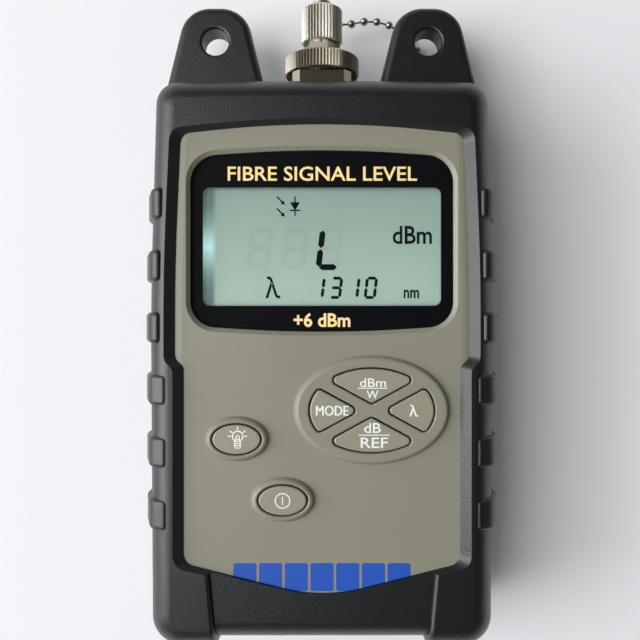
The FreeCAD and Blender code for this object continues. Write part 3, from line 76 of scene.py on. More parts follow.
class Segment(Enum):
    """One bar of a seven-bar digit: its place in half sizes of the digit, and whether it is upright."""

    TOP = (0, 1, False)
    UPPER_RIGHT = (1, 0.5, True)
    LOWER_RIGHT = (1, -0.5, True)
    BOTTOM = (0, -1, False)
    LOWER_LEFT = (-1, -0.5, True)
    UPPER_LEFT = (-1, 0.5, True)
    MIDDLE = (0, 0, False)


DIGITS = {
    "L": (Segment.UPPER_LEFT, Segment.LOWER_LEFT, Segment.BOTTOM),
    "0": (Segment.TOP, Segment.UPPER_RIGHT, Segment.LOWER_RIGHT, Segment.BOTTOM, Segment.LOWER_LEFT,
          Segment.UPPER_LEFT),
    "1": (Segment.UPPER_RIGHT, Segment.LOWER_RIGHT),
    "3": (Segment.TOP, Segment.UPPER_RIGHT, Segment.MIDDLE, Segment.LOWER_RIGHT, Segment.BOTTOM),
    "8": tuple(Segment),
}


# ---------------- colour and nodes
def linear(hex_colour: str) -> tuple[float, float, float, float]:
    """Turn an sRGB hex colour into linear values.

    Args:
        hex_colour: Six hex digits, with or without a leading hash.

    Returns:
        Linear red, green, blue and an alpha of 1.
    """
    digits = hex_colour.lstrip("#")
    channels = [int(digits[i:i + 2], 16) / 255 for i in (0, 2, 4)]
    bright = [c / 12.92 if c <= 0.04045 else ((c + 0.055) / 1.055) ** 2.4 for c in channels]
    return (bright[0], bright[1], bright[2], 1.0)


def add_node(material: Tree, kind: str, values: Optional[dict] = None, inputs: Optional[dict] = None,
             stops: Optional[list[tuple[float, tuple]]] = None, **settings: object) -> Node:
    """Add one shader node.

    Args:
        material: Material or world whose tree gets the node.
        kind: Blender's node type, without ShaderNode before it.
        values: Socket names with fixed values.
        inputs: Socket names with the output sockets that feed them.
        stops: A colour ramp's places, from 0 to 1, with their linear colours.
        settings: Attributes set on the node itself.

    Returns:
        The new node.
    """
    tree = material.node_tree
    node = tree.nodes.new("ShaderNode" + kind)
    for name, value in settings.items():
        setattr(node, name, value)
    for name, value in (values or {}).items():
        node.inputs[name].default_value = value
    for name, source in (inputs or {}).items():
        tree.links.new(source, node.inputs[name])
    if stops:
        elements = node.color_ramp.elements
        while len(elements) < len(stops):
            elements.new(0.5)
        for element, (place, colour) in zip(elements, stops):
            element.position = place
            element.color = colour
    return node


def new_material(name: str) -> Material:
    """Make a material with an empty node tree.

    Args:
        name: The material's plain name.

    Returns:
        The material.
    """
    material = bpy.data.materials.new(name)
    material.use_nodes = True
    material.node_tree.nodes.clear()
    return material


def finish_output(material: Material, shader: NodeSocket) -> None:
    """Link a shader to the material's output."""
    add_node(material, "OutputMaterial", inputs={"Surface": shader})


GRAIN_DETAIL = 2.0              # finer noises within the grain
MOTTLE_DETAIL = 3.0             # and within the colour's patches
MOTTLE_SPAN = (0.3, 0.7)        # noise levels at which the colour is darkest and lightest


@dataclass(frozen=True)
class Finish:
    """One real material with its surface.

    Attributes:
        name: The material's plain name.
        colour: sRGB hex colour.
        roughness: Shader roughness.
        metallic: 1 for bare metal.
        ior: Index of refraction; a metal keeps the default.
        coat: Weight of a clear coat.
        cover: Opacity, 0 to 1.
        grain_mm: Size of the surface's grain; 0 leaves it smooth.
        grain_depth_mm: Height of that grain.
        mottle: How far the colour wanders, 0 to 1.
        mottle_mm: Size of the colour's patches.
    """

    name: str
    colour: str
    roughness: float
    metallic: float = 0.0
    ior: float = 1.5
    coat: float = 0.0
    cover: float = 1.0
    grain_mm: float = 0.0
    grain_depth_mm: float = 0.0
    mottle: float = 0.0
    mottle_mm: float = 12.0

    def build(self) -> Material:
        """Build the shader.

        Returns:
            The finished material.
        """
        material = new_material(self.name)
        values = {"Base Color": linear(self.colour), "Roughness": self.roughness, "Metallic": self.metallic,
                  "IOR": self.ior, "Coat Weight": self.coat, "Alpha": self.cover}
        inputs = {}
        if self.grain_mm or self.mottle:
            place = add_node(material, "TexCoord").outputs["Object"]
        if self.grain_mm:
            grain = add_node(material, "TexNoise",
                             {"Scale": 1 / (self.grain_mm * MM), "Detail": GRAIN_DETAIL},
                             {"Vector": place})
            bump = add_node(material, "Bump", {"Distance": self.grain_depth_mm * MM, "Strength": 1.0},
                            {"Height": grain.outputs["Fac"]})
            inputs["Normal"] = bump.outputs["Normal"]
        if self.mottle:
            patches = add_node(material, "TexNoise",
                               {"Scale": 1 / (self.mottle_mm * MM), "Detail": MOTTLE_DETAIL},
                               {"Vector": place})
            red, green, blue, _ = linear(self.colour)
            stops = [(level, (red * factor, green * factor, blue * factor, 1.0))
                     for level, factor in zip(MOTTLE_SPAN, (1 - self.mottle, 1 + self.mottle))]
            tint = add_node(material, "ValToRGB", inputs={"Fac": patches.outputs["Fac"]}, stops=stops)
            inputs["Base Color"] = tint.outputs["Color"]
        shader = add_node(material, "BsdfPrincipled", values, inputs)
        finish_output(material, shader.outputs["BSDF"])
        return material


@dataclass(frozen=True)
class ClearAcrylic:
    """Clear moulded acrylic that lets the lamps light what is behind it.

    Attributes:
        name: The material's plain name.
        ior: Index of refraction.
        roughness: Shader roughness.
    """

    name: str = "clear moulded acrylic"
    ior: float = 1.49
    roughness: float = 0.015

    def build(self) -> Material:
        """Build the shader: glass to the eye, open to the lamps.

        Returns:
            The finished material.
        """
        material = new_material(self.name)
        shader = add_node(material, "BsdfPrincipled",
                          {"Base Color": (1.0, 1.0, 1.0, 1.0), "Roughness": self.roughness,
                           "IOR": self.ior, "Transmission Weight": 1.0})
        clear = add_node(material, "BsdfTransparent")
        path = add_node(material, "LightPath")
        mix = add_node(material, "MixShader", inputs={0: path.outputs["Is Shadow Ray"],
                                                      1: shader.outputs["BSDF"],
                                                      2: clear.outputs["BSDF"]})
        finish_output(material, mix.outputs["Shader"])
        return material


@dataclass(frozen=True)
class DisplayGlass:
    """Reflective liquid-crystal glass; its left edge has a painted glow for the lit end of the light plate.

    Attributes:
        name: The material's plain name.
        upper: sRGB hex colour of the glass at its top, painted darker there as shade.
        lower: The same at its bottom, painted lighter there as painted light.
        edge: Colours of the painted glow that the left strip emits for the lit end of the light plate,
            each with its place from bottom to top, 0 to 1; the lamps sit behind the middle. The glow
            also lifts the shadow that the black print casts on the strip.
        unlit: Colour of that strip under its painted glow, kept dark so that the glow sets its brightness.
        strip: Object X between which the strip fades out, metres.
        height: Object Y of the glass's lower and upper ends, metres.
        roughness: Shader roughness.
    """

    name: str = "reflective TN display glass"
    upper: str = "788f86"
    lower: str = "98ae9f"
    edge: tuple[tuple[float, str], ...] = ((0.14, "4c6460"), (0.24, "56706c"), (0.34, "71918b"),
                                           (0.44, "9fcbc2"), (0.50, "b6e6e0"), (0.56, "a3d0ca"),
                                           (0.65, "76978f"), (0.76, "56706c"), (0.86, "4b625e"))
    unlit: str = "222e2d"
    strip: tuple[float, float] = (-25.1 * MM, -23.7 * MM)
    height: tuple[float, float] = (-3.3 * MM, 31.0 * MM)
    roughness: float = 0.3

    def build(self) -> Material:
        """Build the shader.

        Returns:
            The finished material.
        """
        material = new_material(self.name)
        place = add_node(material, "TexCoord").outputs["Object"]
        axes = add_node(material, "SeparateXYZ", inputs={"Vector": place})
        rise = add_node(material, "MapRange", {"From Min": self.height[0], "From Max": self.height[1]},
                        {"Value": axes.outputs["Y"]}).outputs["Result"]
        # painted light: the glass is painted darker towards the top and lighter towards the bottom
        glass = add_node(material, "ValToRGB", inputs={"Fac": rise},
                         stops=[(0.0, linear(self.lower)), (1.0, linear(self.upper))])
        strip = add_node(material, "ValToRGB", inputs={"Fac": rise},
                         stops=[(level, linear(tone)) for level, tone in self.edge])
        inside = add_node(material, "MapRange", {"From Min": self.strip[0], "From Max": self.strip[1]},
                          {"Value": axes.outputs["X"]}, interpolation_type="SMOOTHSTEP")
        # painted glow: the left strip emits light though it is no lamp, and its dark base lets the glow set
        # its brightness
        painted_glow_share = add_node(material, "Math", {0: 1.0}, {1: inside.outputs["Result"]}, operation="SUBTRACT")
        colour = add_node(material, "Mix", {6: linear(self.unlit)},
                          {0: inside.outputs["Result"], 7: glass.outputs["Color"]}, data_type="RGBA")
        shader = add_node(material, "BsdfPrincipled", {"Roughness": self.roughness},
                          {"Base Color": colour.outputs[2], "Emission Color": strip.outputs["Color"],
                           "Emission Strength": painted_glow_share.outputs["Value"]})
        finish_output(material, shader.outputs["BSDF"])
        return material


# ---------------- finishes of this object
# Each comment says what the real surface gives the eye.
BOOT_RUBBER = Finish("moulded silicone rubber", "0b1115", 0.36, ior=1.6, grain_mm=0.3, grain_depth_mm=0.055,
                     mottle=0.06, mottle_mm=18)      # near-black with a broad soft sheen
CASE_ABS = Finish("spark-textured ABS", "908f7e", 0.4, grain_mm=0.25, grain_depth_mm=0.012,
                  mottle=0.025, mottle_mm=25)        # olive taupe, satin
KEY_ABS = Finish("satin ABS keycap", "999785", 0.34, grain_mm=0.3,
                 grain_depth_mm=0.006)               # the case's taupe, a shade lighter and smoother
WINDOW_ACRYLIC = ClearAcrylic()                      # clear, mirror-smooth
BLACK_PRINT = Finish("black screen print", "05070e", 0.5, ior=1.2)  # deep black behind the window
LCD_GLASS = DisplayGlass()                           # grey-green, painted paler towards the bottom as painted light, with a painted glow at its left edge
LCD_INK = Finish("driven liquid crystal", "05090b", 0.5, ior=1.15)         # almost black segments
LCD_GHOST = Finish("idle liquid crystal", "7c5a62", 0.5, ior=1.1, cover=0.07)  # barely there, pinkish
WHITE_PRINT = Finish("white pad print", "fbfbf7", 0.4)                     # clean white, satin
GOLD_PRINT = Finish("gold screen print", "f2d593", 0.45)                   # pale gold ink, no metal gleam
BLUE_PRINT = Finish("blue pad print", "1b55be", 0.5)                       # strong mid blue
NICKEL = Finish("nickel-plated turned brass", "aca594", 0.22, metallic=1.0, grain_mm=0.2,
                grain_depth_mm=0.002)                # warm grey metal with fine turning
CAP_METAL = Finish("bead-blasted nickel plate", "dedacf", 0.27, metallic=1.0)  # paler, softer gleam
STEEL = Finish("zinc-plated steel", "a9a9a4", 0.3, metallic=1.0)           # cool grey screws
SPRING_METAL = Finish("nickel-plated spring steel", "bdbbb2", 0.28, metallic=1.0)  # light grey wire
FR4 = Finish("green solder mask", "14502c", 0.3, ior=1.55)                 # dark glossy green
IC_RESIN = Finish("black moulding resin", "17181a", 0.5)                   # matt black
SILICONE = Finish("dark keypad silicone", "1b1c1d", 0.6)                   # its own dark grey, made near-black as painted shade in the key slits
CARBON = Finish("carbon contact rubber", "101010", 0.7)                    # dull black
FOAM = Finish("black foam", "191919", 0.9)                                 # no shine at all
ELASTOMER = Finish("striped contact elastomer", "54565c", 0.6)             # dull grey
WHITE_ABS = Finish("white ABS frame", "dcdcd6", 0.5)                       # off-white, satin
FROSTED = Finish("frosted acrylic", "e9ebe6", 0.55)                        # milky white
LED_RESIN = Finish("white lamp resin", "f2f0dc", 0.3)                      # warm white, glossy
CELL_WRAP = Finish("shrink-wrapped cell", "3a3f4a", 0.3, coat=0.3)         # slate blue under clear film


Surface = Finish | ClearAcrylic | DisplayGlass


class Paintbox:
    """Builds each finish once and hands it out.

    Attributes:
        made: Materials by finish name.
    """

    def __init__(self) -> None:
        """Start empty."""
        self.made: dict[str, Material] = {}

    def get(self, finish: Surface) -> Material:
        """Hand out a finish's material, building it the first time.

        Args:
            finish: The finish.

        Returns:
            Its material.
        """
        if finish.name not in self.made:
            self.made[finish.name] = finish.build()
        return self.made[finish.name]


# ---------------- modelling helpers
def add(operator: Callable, **settings: object) -> Object:
    """Add one new object with nothing else selected, so that the next operators act on it alone.

    Args:
        operator: Blender's operator that adds it.
        settings: What the operator is given.

    Returns:
        The new object.
    """
    bpy.ops.object.select_all(action="DESELECT")
    operator(**settings)
    return bpy.context.object


def select_only(*pieces: Object) -> None:
    """Select some pieces and nothing else.

    Args:
        pieces: The pieces; the first becomes the active one.
    """
    bpy.ops.object.select_all(action="DESELECT")
    for piece in pieces:
        piece.select_set(True)
    bpy.context.view_layer.objects.active = pieces[0]


def apply_place() -> None:
    """Put the selected piece's place, turn and scale into its mesh."""
    bpy.ops.object.transform_apply(location=True, rotation=True, scale=True)


class Pick(Enum):
    """What is selected in a mesh when its edit starts."""

    ALL = "SELECT"
    NONE = "DESELECT"
    AS_IT_WAS = ""


@contextmanager
def editing(pick: Pick) -> Iterator[None]:
    """Edit the active piece's mesh.

    Args:
        pick: What is selected when the edit starts.

    Yields:
        Nothing; the edit stands in the block under it.
    """
    bpy.ops.object.mode_set(mode="EDIT")
    if pick.value:
        bpy.ops.mesh.select_all(action=pick.value)
    yield
    bpy.ops.object.mode_set(mode="OBJECT")


def merge_corners() -> None:
    """Join the active piece's loose faces where their corners meet."""
    with editing(Pick.ALL):
        bpy.ops.mesh.remove_doubles(threshold=MERGE)


def apply_modifier(piece: Object, kind: str, **settings: object) -> None:
    """Shape a piece with one modifier.

    Args:
        piece: The mesh object.
        kind: Blender's modifier type.
        settings: Attributes set on the modifier.
    """
    select_only(piece)
    modifier = piece.modifiers.new(kind, kind)
    for name, value in settings.items():
        setattr(modifier, name, value)
    bpy.ops.object.modifier_apply(modifier=modifier.name)


def millimetres(x: float, y: float) -> Vector:
    """Turn X and Y in millimetres into a level vector in metres."""
    return Vector((x * MM, y * MM, 0))


def middle_of(node: str) -> Vector:
    """Centre of a CAD node's box."""
    low, high = (Vector(corner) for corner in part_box(node))
    return (low + high) / 2


def top_of(node: str) -> float:
    """Height of a CAD node's top."""
    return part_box(node)[1][2]


def dress(piece: Object, material: Material) -> None:
    """Give a whole piece one material.

    Args:
        piece: The mesh object.
        material: Its material.
    """
    if not piece.material_slots:
        piece.data.materials.append(material)
    for slot in piece.material_slots:
        slot.material = material


def settle(piece: Object, name: str, body: str, material: Material) -> None:
    """Finish a new piece: name, applied place, body, slot and material.

    Args:
        piece: The mesh object.
        name: Its name in the model.
        body: The CAD body it rides on.
        material: Its material.
    """
    select_only(piece)
    apply_place()
    piece.name = name
    dress(piece, material)
    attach(piece, body)
    log.info("%s rides on %s", name, body)


def join(pieces: list[Object]) -> Object:
    """Join meshes into the first one.

    Args:
        pieces: The mesh objects.

    Returns:
        The first one.
    """
    select_only(*pieces)
    bpy.ops.object.join()
    return pieces[0]


def subtract(piece: Object, tool: Object) -> None:
    """Cut a tool's shape out of a piece and delete the tool.

    Args:
        piece: The mesh object that is cut.
        tool: The mesh object that cuts it.
    """
    apply_modifier(piece, "BOOLEAN", operation="DIFFERENCE", object=tool)
    bpy.data.objects.remove(tool, do_unlink=True)


def rounded_plate(low: Vector, high: Vector, radius: float, steps: int = 8) -> Object:
    """Plate with rounded upright corners.

    Args:
        low: Lowest corner.
        high: Highest corner.
        radius: Corner radius.
        steps: Flats along each corner; 1 gives a plain chamfer.

    Returns:
        The mesh object.
    """
    piece = add(bpy.ops.mesh.primitive_cube_add, size=1, location=(low + high) / 2)
    piece.scale = high - low
    apply_place()
    with editing(Pick.NONE):
        bpy.ops.mesh.select_mode(type="EDGE")
    for edge in piece.data.edges:    # the upright ones
        ends = [piece.data.vertices[v].co for v in edge.vertices]
        edge.select = abs(ends[0].z - ends[1].z) > (high.z - low.z) / 2
    with editing(Pick.AS_IT_WAS):
        bpy.ops.mesh.bevel(offset=radius, segments=steps)
    return piece


# ---------------- print
# Print is placed and sized in millimetres from a base, a point in metres on the printed face.
class Line(NamedTuple):
    """One line of lettering.

    Attributes:
        text: What it says.
        x: Place of its centre along X.
        y: The same along Y.
        height: Height from its lowest to its highest point.
        width: Width from end to end.
        weight: How much bolder than the plain font its strokes are.
    """

    text: str
    x: float
    y: float
    height: float
    width: float
    weight: float = 0.0


def above(base: Vector, x: float, y: float) -> Vector:
    """Middle of a printed part whose underside is centred on a place."""
    return base + Vector((x * MM, y * MM, PRINT_THICKNESS / 2))


def lettering(line: Line, base: Vector) -> Object:
    """Print a line of lettering as a thin mesh.

    Args:
        line: What it says, where, how large and how bold.
        base: The point that its place starts from.

    Returns:
        The mesh object.
    """
    text = add(bpy.ops.object.text_add).data
    text.body = line.text
    text.offset = line.weight * FONT_SHARE
    text.resolution_u = CURVE_STEPS
    text.extrude = FONT_SHARE
    bpy.ops.object.convert(target="MESH")
    piece = bpy.context.object
    low = Vector([min(axis) for axis in zip(*piece.bound_box)])
    high = Vector([max(axis) for axis in zip(*piece.bound_box)])
    size = high - low
    scale = Vector((line.width * MM / size.x, line.height * MM / size.y, PRINT_THICKNESS / size.z))
    foot = Vector(((low.x + high.x) / 2, (low.y + high.y) / 2, low.z))
    piece.scale = scale
    piece.location = base + millimetres(line.x, line.y) - foot * scale
    apply_place()
    return piece


def bar(base: Vector, x: float, y: float, length: float, width: float, angle: float = 0.0) -> Object:
    """Print a thin bar, its length along X before it is turned.

    Args:
        base: The point that its place starts from.
        x: Place of its centre along X.
        y: The same along Y.
        length: Length.
        width: Width.
        angle: Turn about Z, radians.

    Returns:
        The mesh object.
    """
    piece = add(bpy.ops.mesh.primitive_cube_add, size=1, location=above(base, x, y))
    piece.scale = (length * MM, width * MM, PRINT_THICKNESS)
    piece.rotation_euler = (0, 0, angle)
    apply_place()
    return piece


def ring(base: Vector, y: float, radius: float, width: float) -> Object:
    """Print a thin ring.

    Args:
        base: The point that its place starts from.
        y: Place of its centre along Y.
        radius: Radius of the line's middle.
        width: Width of the line.

    Returns:
        The mesh object.
    """
    disc, core = (add(bpy.ops.mesh.primitive_cylinder_add, vertices=ROUND_STEPS, radius=reach * MM,
                      depth=depth, location=above(base, 0, y))
                  for reach, depth in ((radius + width / 2, PRINT_THICKNESS),
                                       (radius - width / 2, 3 * PRINT_THICKNESS)))
    subtract(disc, core)
    return disc


def triangle(base: Vector, x: float, y: float, radius: float, angle: float) -> Object:
    """Print a small filled triangle that points up before it is turned.

    Args:
        base: The point that its place starts from.
        x: Place of its centre along X.
        y: The same along Y.
        radius: Distance of its corners from its centre.
        angle: Turn about Z, radians.

    Returns:
        The mesh object.
    """
    piece = add(bpy.ops.mesh.primitive_cylinder_add, vertices=3, radius=radius * MM,
                depth=PRINT_THICKNESS, location=above(base, x, y), rotation=(0, 0, angle))
    apply_place()
    return piece


# ---------------- CAD nodes
@dataclass
class CadFinishes:
    """Gives every CAD node its real finish.

    Attributes:
        paints: Source of built materials.
        nodes: Each finish with the names of the nodes that have it.
    """

    paints: Paintbox
    nodes: tuple[tuple[Surface, str], ...] = (
        (BOOT_RUBBER, "rubber_boot"),
        (CASE_ABS, "front_case rear_case battery_door"),
        (WINDOW_ACRYLIC, "display_window"),
        (FOAM, "lcd_gasket"),
        (LCD_GLASS, "lcd_panel"),
        (FROSTED, "backlight_guide"),
        (LED_RESIN, "backlight_leds"),
        (WHITE_ABS, "lcd_holder"),
        (ELASTOMER, "zebra_strips"),
        (FR4, "main_board preamp_board"),
        (IC_RESIN, "board_components"),
        (SILICONE, "keypad_mat"),
        (CARBON, "contact_pills"),
        (CELL_WRAP, "batteries"),
        (SPRING_METAL, "battery_springs battery_plates cap_eyelet chain_anchor"),
        (STEEL, "case_screws board_screws door_screw chain_screw"),
        (NICKEL, "port_body port_nut port_washer photodiode adapter_ring fibre_adapter chain_beads "
                 "chain_links"),
        (CAP_METAL, "dust_cap"),
        (KEY_ABS, "key_unit key_wavelength key_reference key_mode key_backlight key_power"))

    def build(self) -> None:
        """Assign each node's material."""
        for finish, names in self.nodes:
            for node in names.split():
                dress(bpy.data.objects[node], self.paints.get(finish))
                log.info("%s is %s", node, finish.name)


# ---------------- display
@dataclass
class PhotodiodeSign:
    """The display's sign for light on a photodiode; sizes in millimetres from its middle.

    Attributes:
        aside: Distance of the diode to the right and of the arrows to the left.
        diode: Height of the triangle's centre and its radius.
        plate: Height, length and width of the level bar at the triangle's tip.
        wire: Length and width of the upright line through both.
        arrow_heights: Heights of the two arrows.
        shaft: Length and width of an arrow's shaft.
        head: Distance of an arrow's head from the shaft's middle, and its radius.
        slope: Heading of the arrows, radians.
    """

    aside: float = 1.65
    diode: tuple[float, float] = (0.25, 1.3)
    plate: tuple[float, float, float] = (-0.95, 2.4, 0.32)
    wire: tuple[float, float] = (4.4, 0.3)
    arrow_heights: tuple[float, float] = (1.35, -1.35)
    shaft: tuple[float, float] = (2.3, 0.34)
    head: tuple[float, float] = (0.85, 0.62)
    slope: float = math.radians(-46)

    def build(self, base: Vector) -> list[Object]:
        """Print the sign's parts.

        Args:
            base: The sign's middle on the glass.

        Returns:
            One mesh for each part.
        """
        parts = [triangle(base, self.aside, *self.diode, math.pi),
                 bar(base, self.aside, *self.plate),
                 bar(base, self.aside, 0, *self.wire, UPRIGHT)]
        reach, radius = self.head
        for y in self.arrow_heights:
            parts.append(bar(base, -self.aside, y, *self.shaft, self.slope))
            parts.append(triangle(base, reach * math.cos(self.slope) - self.aside,
                                  reach * math.sin(self.slope) + y, radius, self.slope - UPRIGHT))
        return parts


@dataclass
class Display:
    """Black-printed window and the reading behind it; sizes in millimetres from the glass's middle.

    Attributes:
        paints: Source of built materials.
        opening: Half width and half height of the opening in the black print.
        opening_corner: Radius of the opening's corners.
        mask_thickness: Thickness of the black print.
        mask_share: Size of the black print against the window's, which keeps its rim inside.
        digit: Width and height of a large digit and width of its bars.
        digit_place: Place of the lit large digit.
        digit_pitch: Step from one large digit to the next.
        idle_digits: The digits whose faint idle bars show, in steps from the lit one.
        figure: What the lit large digit shows.
        small_digit: As digit, for the small ones.
        row: What the small digits show.
        row_place: Place of the first small digit.
        row_pitch: Step from one small digit to the next.
        lean: Shift of the digits along X for each unit of height.
        tip: Cut at each corner of a bar, as a share of its width.
        gap: Gap between two bars, as a share of their width.
        sign_place: Place of the photodiode sign.
        units: The lettering on the glass.
        gold_lines: The generic lines of gold print above and below the opening.
    """

    paints: Paintbox
    opening: tuple[float, float] = (26.75, 13.3)
    opening_corner: float = 1.6
    mask_thickness: float = 0.05
    mask_share: float = 0.9995
    digit: tuple[float, float, float] = (5.6, 9.8, 1.35)
    digit_place: tuple[float, float] = (1.85, -0.3)
    digit_pitch: float = 7.95
    idle_digits: tuple[int, ...] = (-2, -1, 0)
    figure: str = "L"
    small_digit: tuple[float, float, float] = (2.75, 5.05, 0.68)
    row: str = "1310"
    row_place: tuple[float, float] = (-0.75, -9.2)
    row_pitch: float = 3.95
    lean: float = 0.12
    tip: float = 0.49
    gap: float = 0.12
    sign_place: tuple[float, float] = (-7.75, 9.3)
    units: tuple[Line, ...] = (Line("dBm", 20.5, 2.8, 4.1, 8.9, 1.6),
                               Line("λ", -11.1, -9.1, 5.0, 3.4, 1.0),
                               Line("nm", 20.3, -10.6, 1.95, 3.5, 2.4))
    gold_lines: tuple[Line, ...] = (Line("FIBRE SIGNAL LEVEL", 0.1, 16.4, 3.25, 42.6, 1.1),
                                    Line("+6 dBm", 0.0, -16.5, 3.2, 12.8, 2.4))

    def glass_middle(self, height: float) -> Vector:
        """Middle of the display glass, at a height in metres."""
        middle = middle_of("lcd_panel")
        return Vector((middle.x, middle.y, height))

    def mask(self) -> None:
        """Print the window's back black round the opening, on a thin copy of the window."""
        low, high = (Vector(corner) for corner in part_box("display_window"))
        centre = self.glass_middle(low.z)
        select_only(bpy.data.objects["display_window"])
        bpy.ops.object.duplicate()
        plate = bpy.context.object
        thickness = self.mask_thickness * MM
        squeeze = thickness / (high.z - low.z)
        # a copy shrinks towards the origin, so it is moved back to the window
        plate.scale = (self.mask_share, self.mask_share, squeeze)
        plate.location.y = centre.y * (1 - self.mask_share)
        plate.location.z = low.z - low.z * squeeze - thickness
        apply_place()
        merge_corners()
        reach = millimetres(*self.opening) + Vector((0, 0, MM))
        hole = rounded_plate(centre - reach, centre + reach, self.opening_corner * MM)
        subtract(plate, hole)
        settle(plate, "window_mask", METER, self.paints.get(BLACK_PRINT))

    def stroke(self, centre: Vector, length: float, width: float, angle: float) -> Object:
        """Print one bar of a digit, pointed at both ends.

        Args:
            centre: Centre of its underside.
            length: Length from tip to tip, metres.
            width: Width across the bar, metres.
            angle: Turn about Z, radians.

        Returns:
            The mesh object.
        """
        half = Vector((length / 2, width / 2, 0))
        piece = rounded_plate(-half, half + Vector((0, 0, PRINT_THICKNESS)), width * self.tip, 1)
        piece.location = centre
        piece.rotation_euler = (0, 0, angle)
        apply_place()
        return piece

    def segments(self, centre: Vector, size: tuple[float, float, float],
                 lit: tuple[Segment, ...]) -> list[Object]:
        """Print the chosen bars of a seven-bar digit.

        Args:
            centre: Centre of the digit's underside.
            size: Width and height of the digit and width of its bars.
            lit: The bars to print.

        Returns:
            One mesh for each bar.
        """
        width, height, thick = (measure * MM for measure in size)
        half_w = (width - thick) / 2
        half_h = (height - thick) / 2
        gap = thick * self.gap
        bars = []
        for segment in lit:
            side, level, upright = segment.value
            y = level * half_h
            place = centre + Vector((side * half_w + y * self.lean, y, 0))
            if upright:
                bars.append(self.stroke(place, half_h - gap, thick, UPRIGHT - math.atan(self.lean)))
            else:
                bars.append(self.stroke(place, 2 * half_w - gap, thick, 0.0))
        return bars

    def reading(self) -> None:
        """Print the dark signs on the glass and the faint bars that are off."""
        base = self.glass_middle(top_of("lcd_panel"))
        digit = base + millimetres(*self.digit_place)
        parts = self.segments(digit, self.digit, DIGITS[self.figure])
        parts += PhotodiodeSign().build(base + millimetres(*self.sign_place))
        first_x, row_y = self.row_place
        for n, figure in enumerate(self.row):
            place = base + millimetres(first_x + n * self.row_pitch, row_y)
            parts += self.segments(place, self.small_digit, DIGITS[figure])
        parts += [lettering(line, base) for line in self.units]
        settle(join(parts), "display_reading", METER, self.paints.get(LCD_INK))
        ghosts = []
        for n in self.idle_digits:
            place = digit + millimetres(n * self.digit_pitch, 0) - Vector((0, 0, PRINT_THICKNESS / 2))
            ghosts += self.segments(place, self.digit, DIGITS["8"])
        settle(join(ghosts), "display_idle_bars", METER, self.paints.get(LCD_GHOST))

    def gold_print(self) -> None:
        """Print the two gold lines where the black print meets the window."""
        base = self.glass_middle(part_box("display_window")[0][2] - PRINT_THICKNESS / 2)
        lines = [lettering(line, base) for line in self.gold_lines]
        settle(join(lines), "window_gold_print", METER, self.paints.get(GOLD_PRINT))

    def build(self) -> None:
        """Make the whole display."""
        self.mask()
        self.reading()
        self.gold_print()


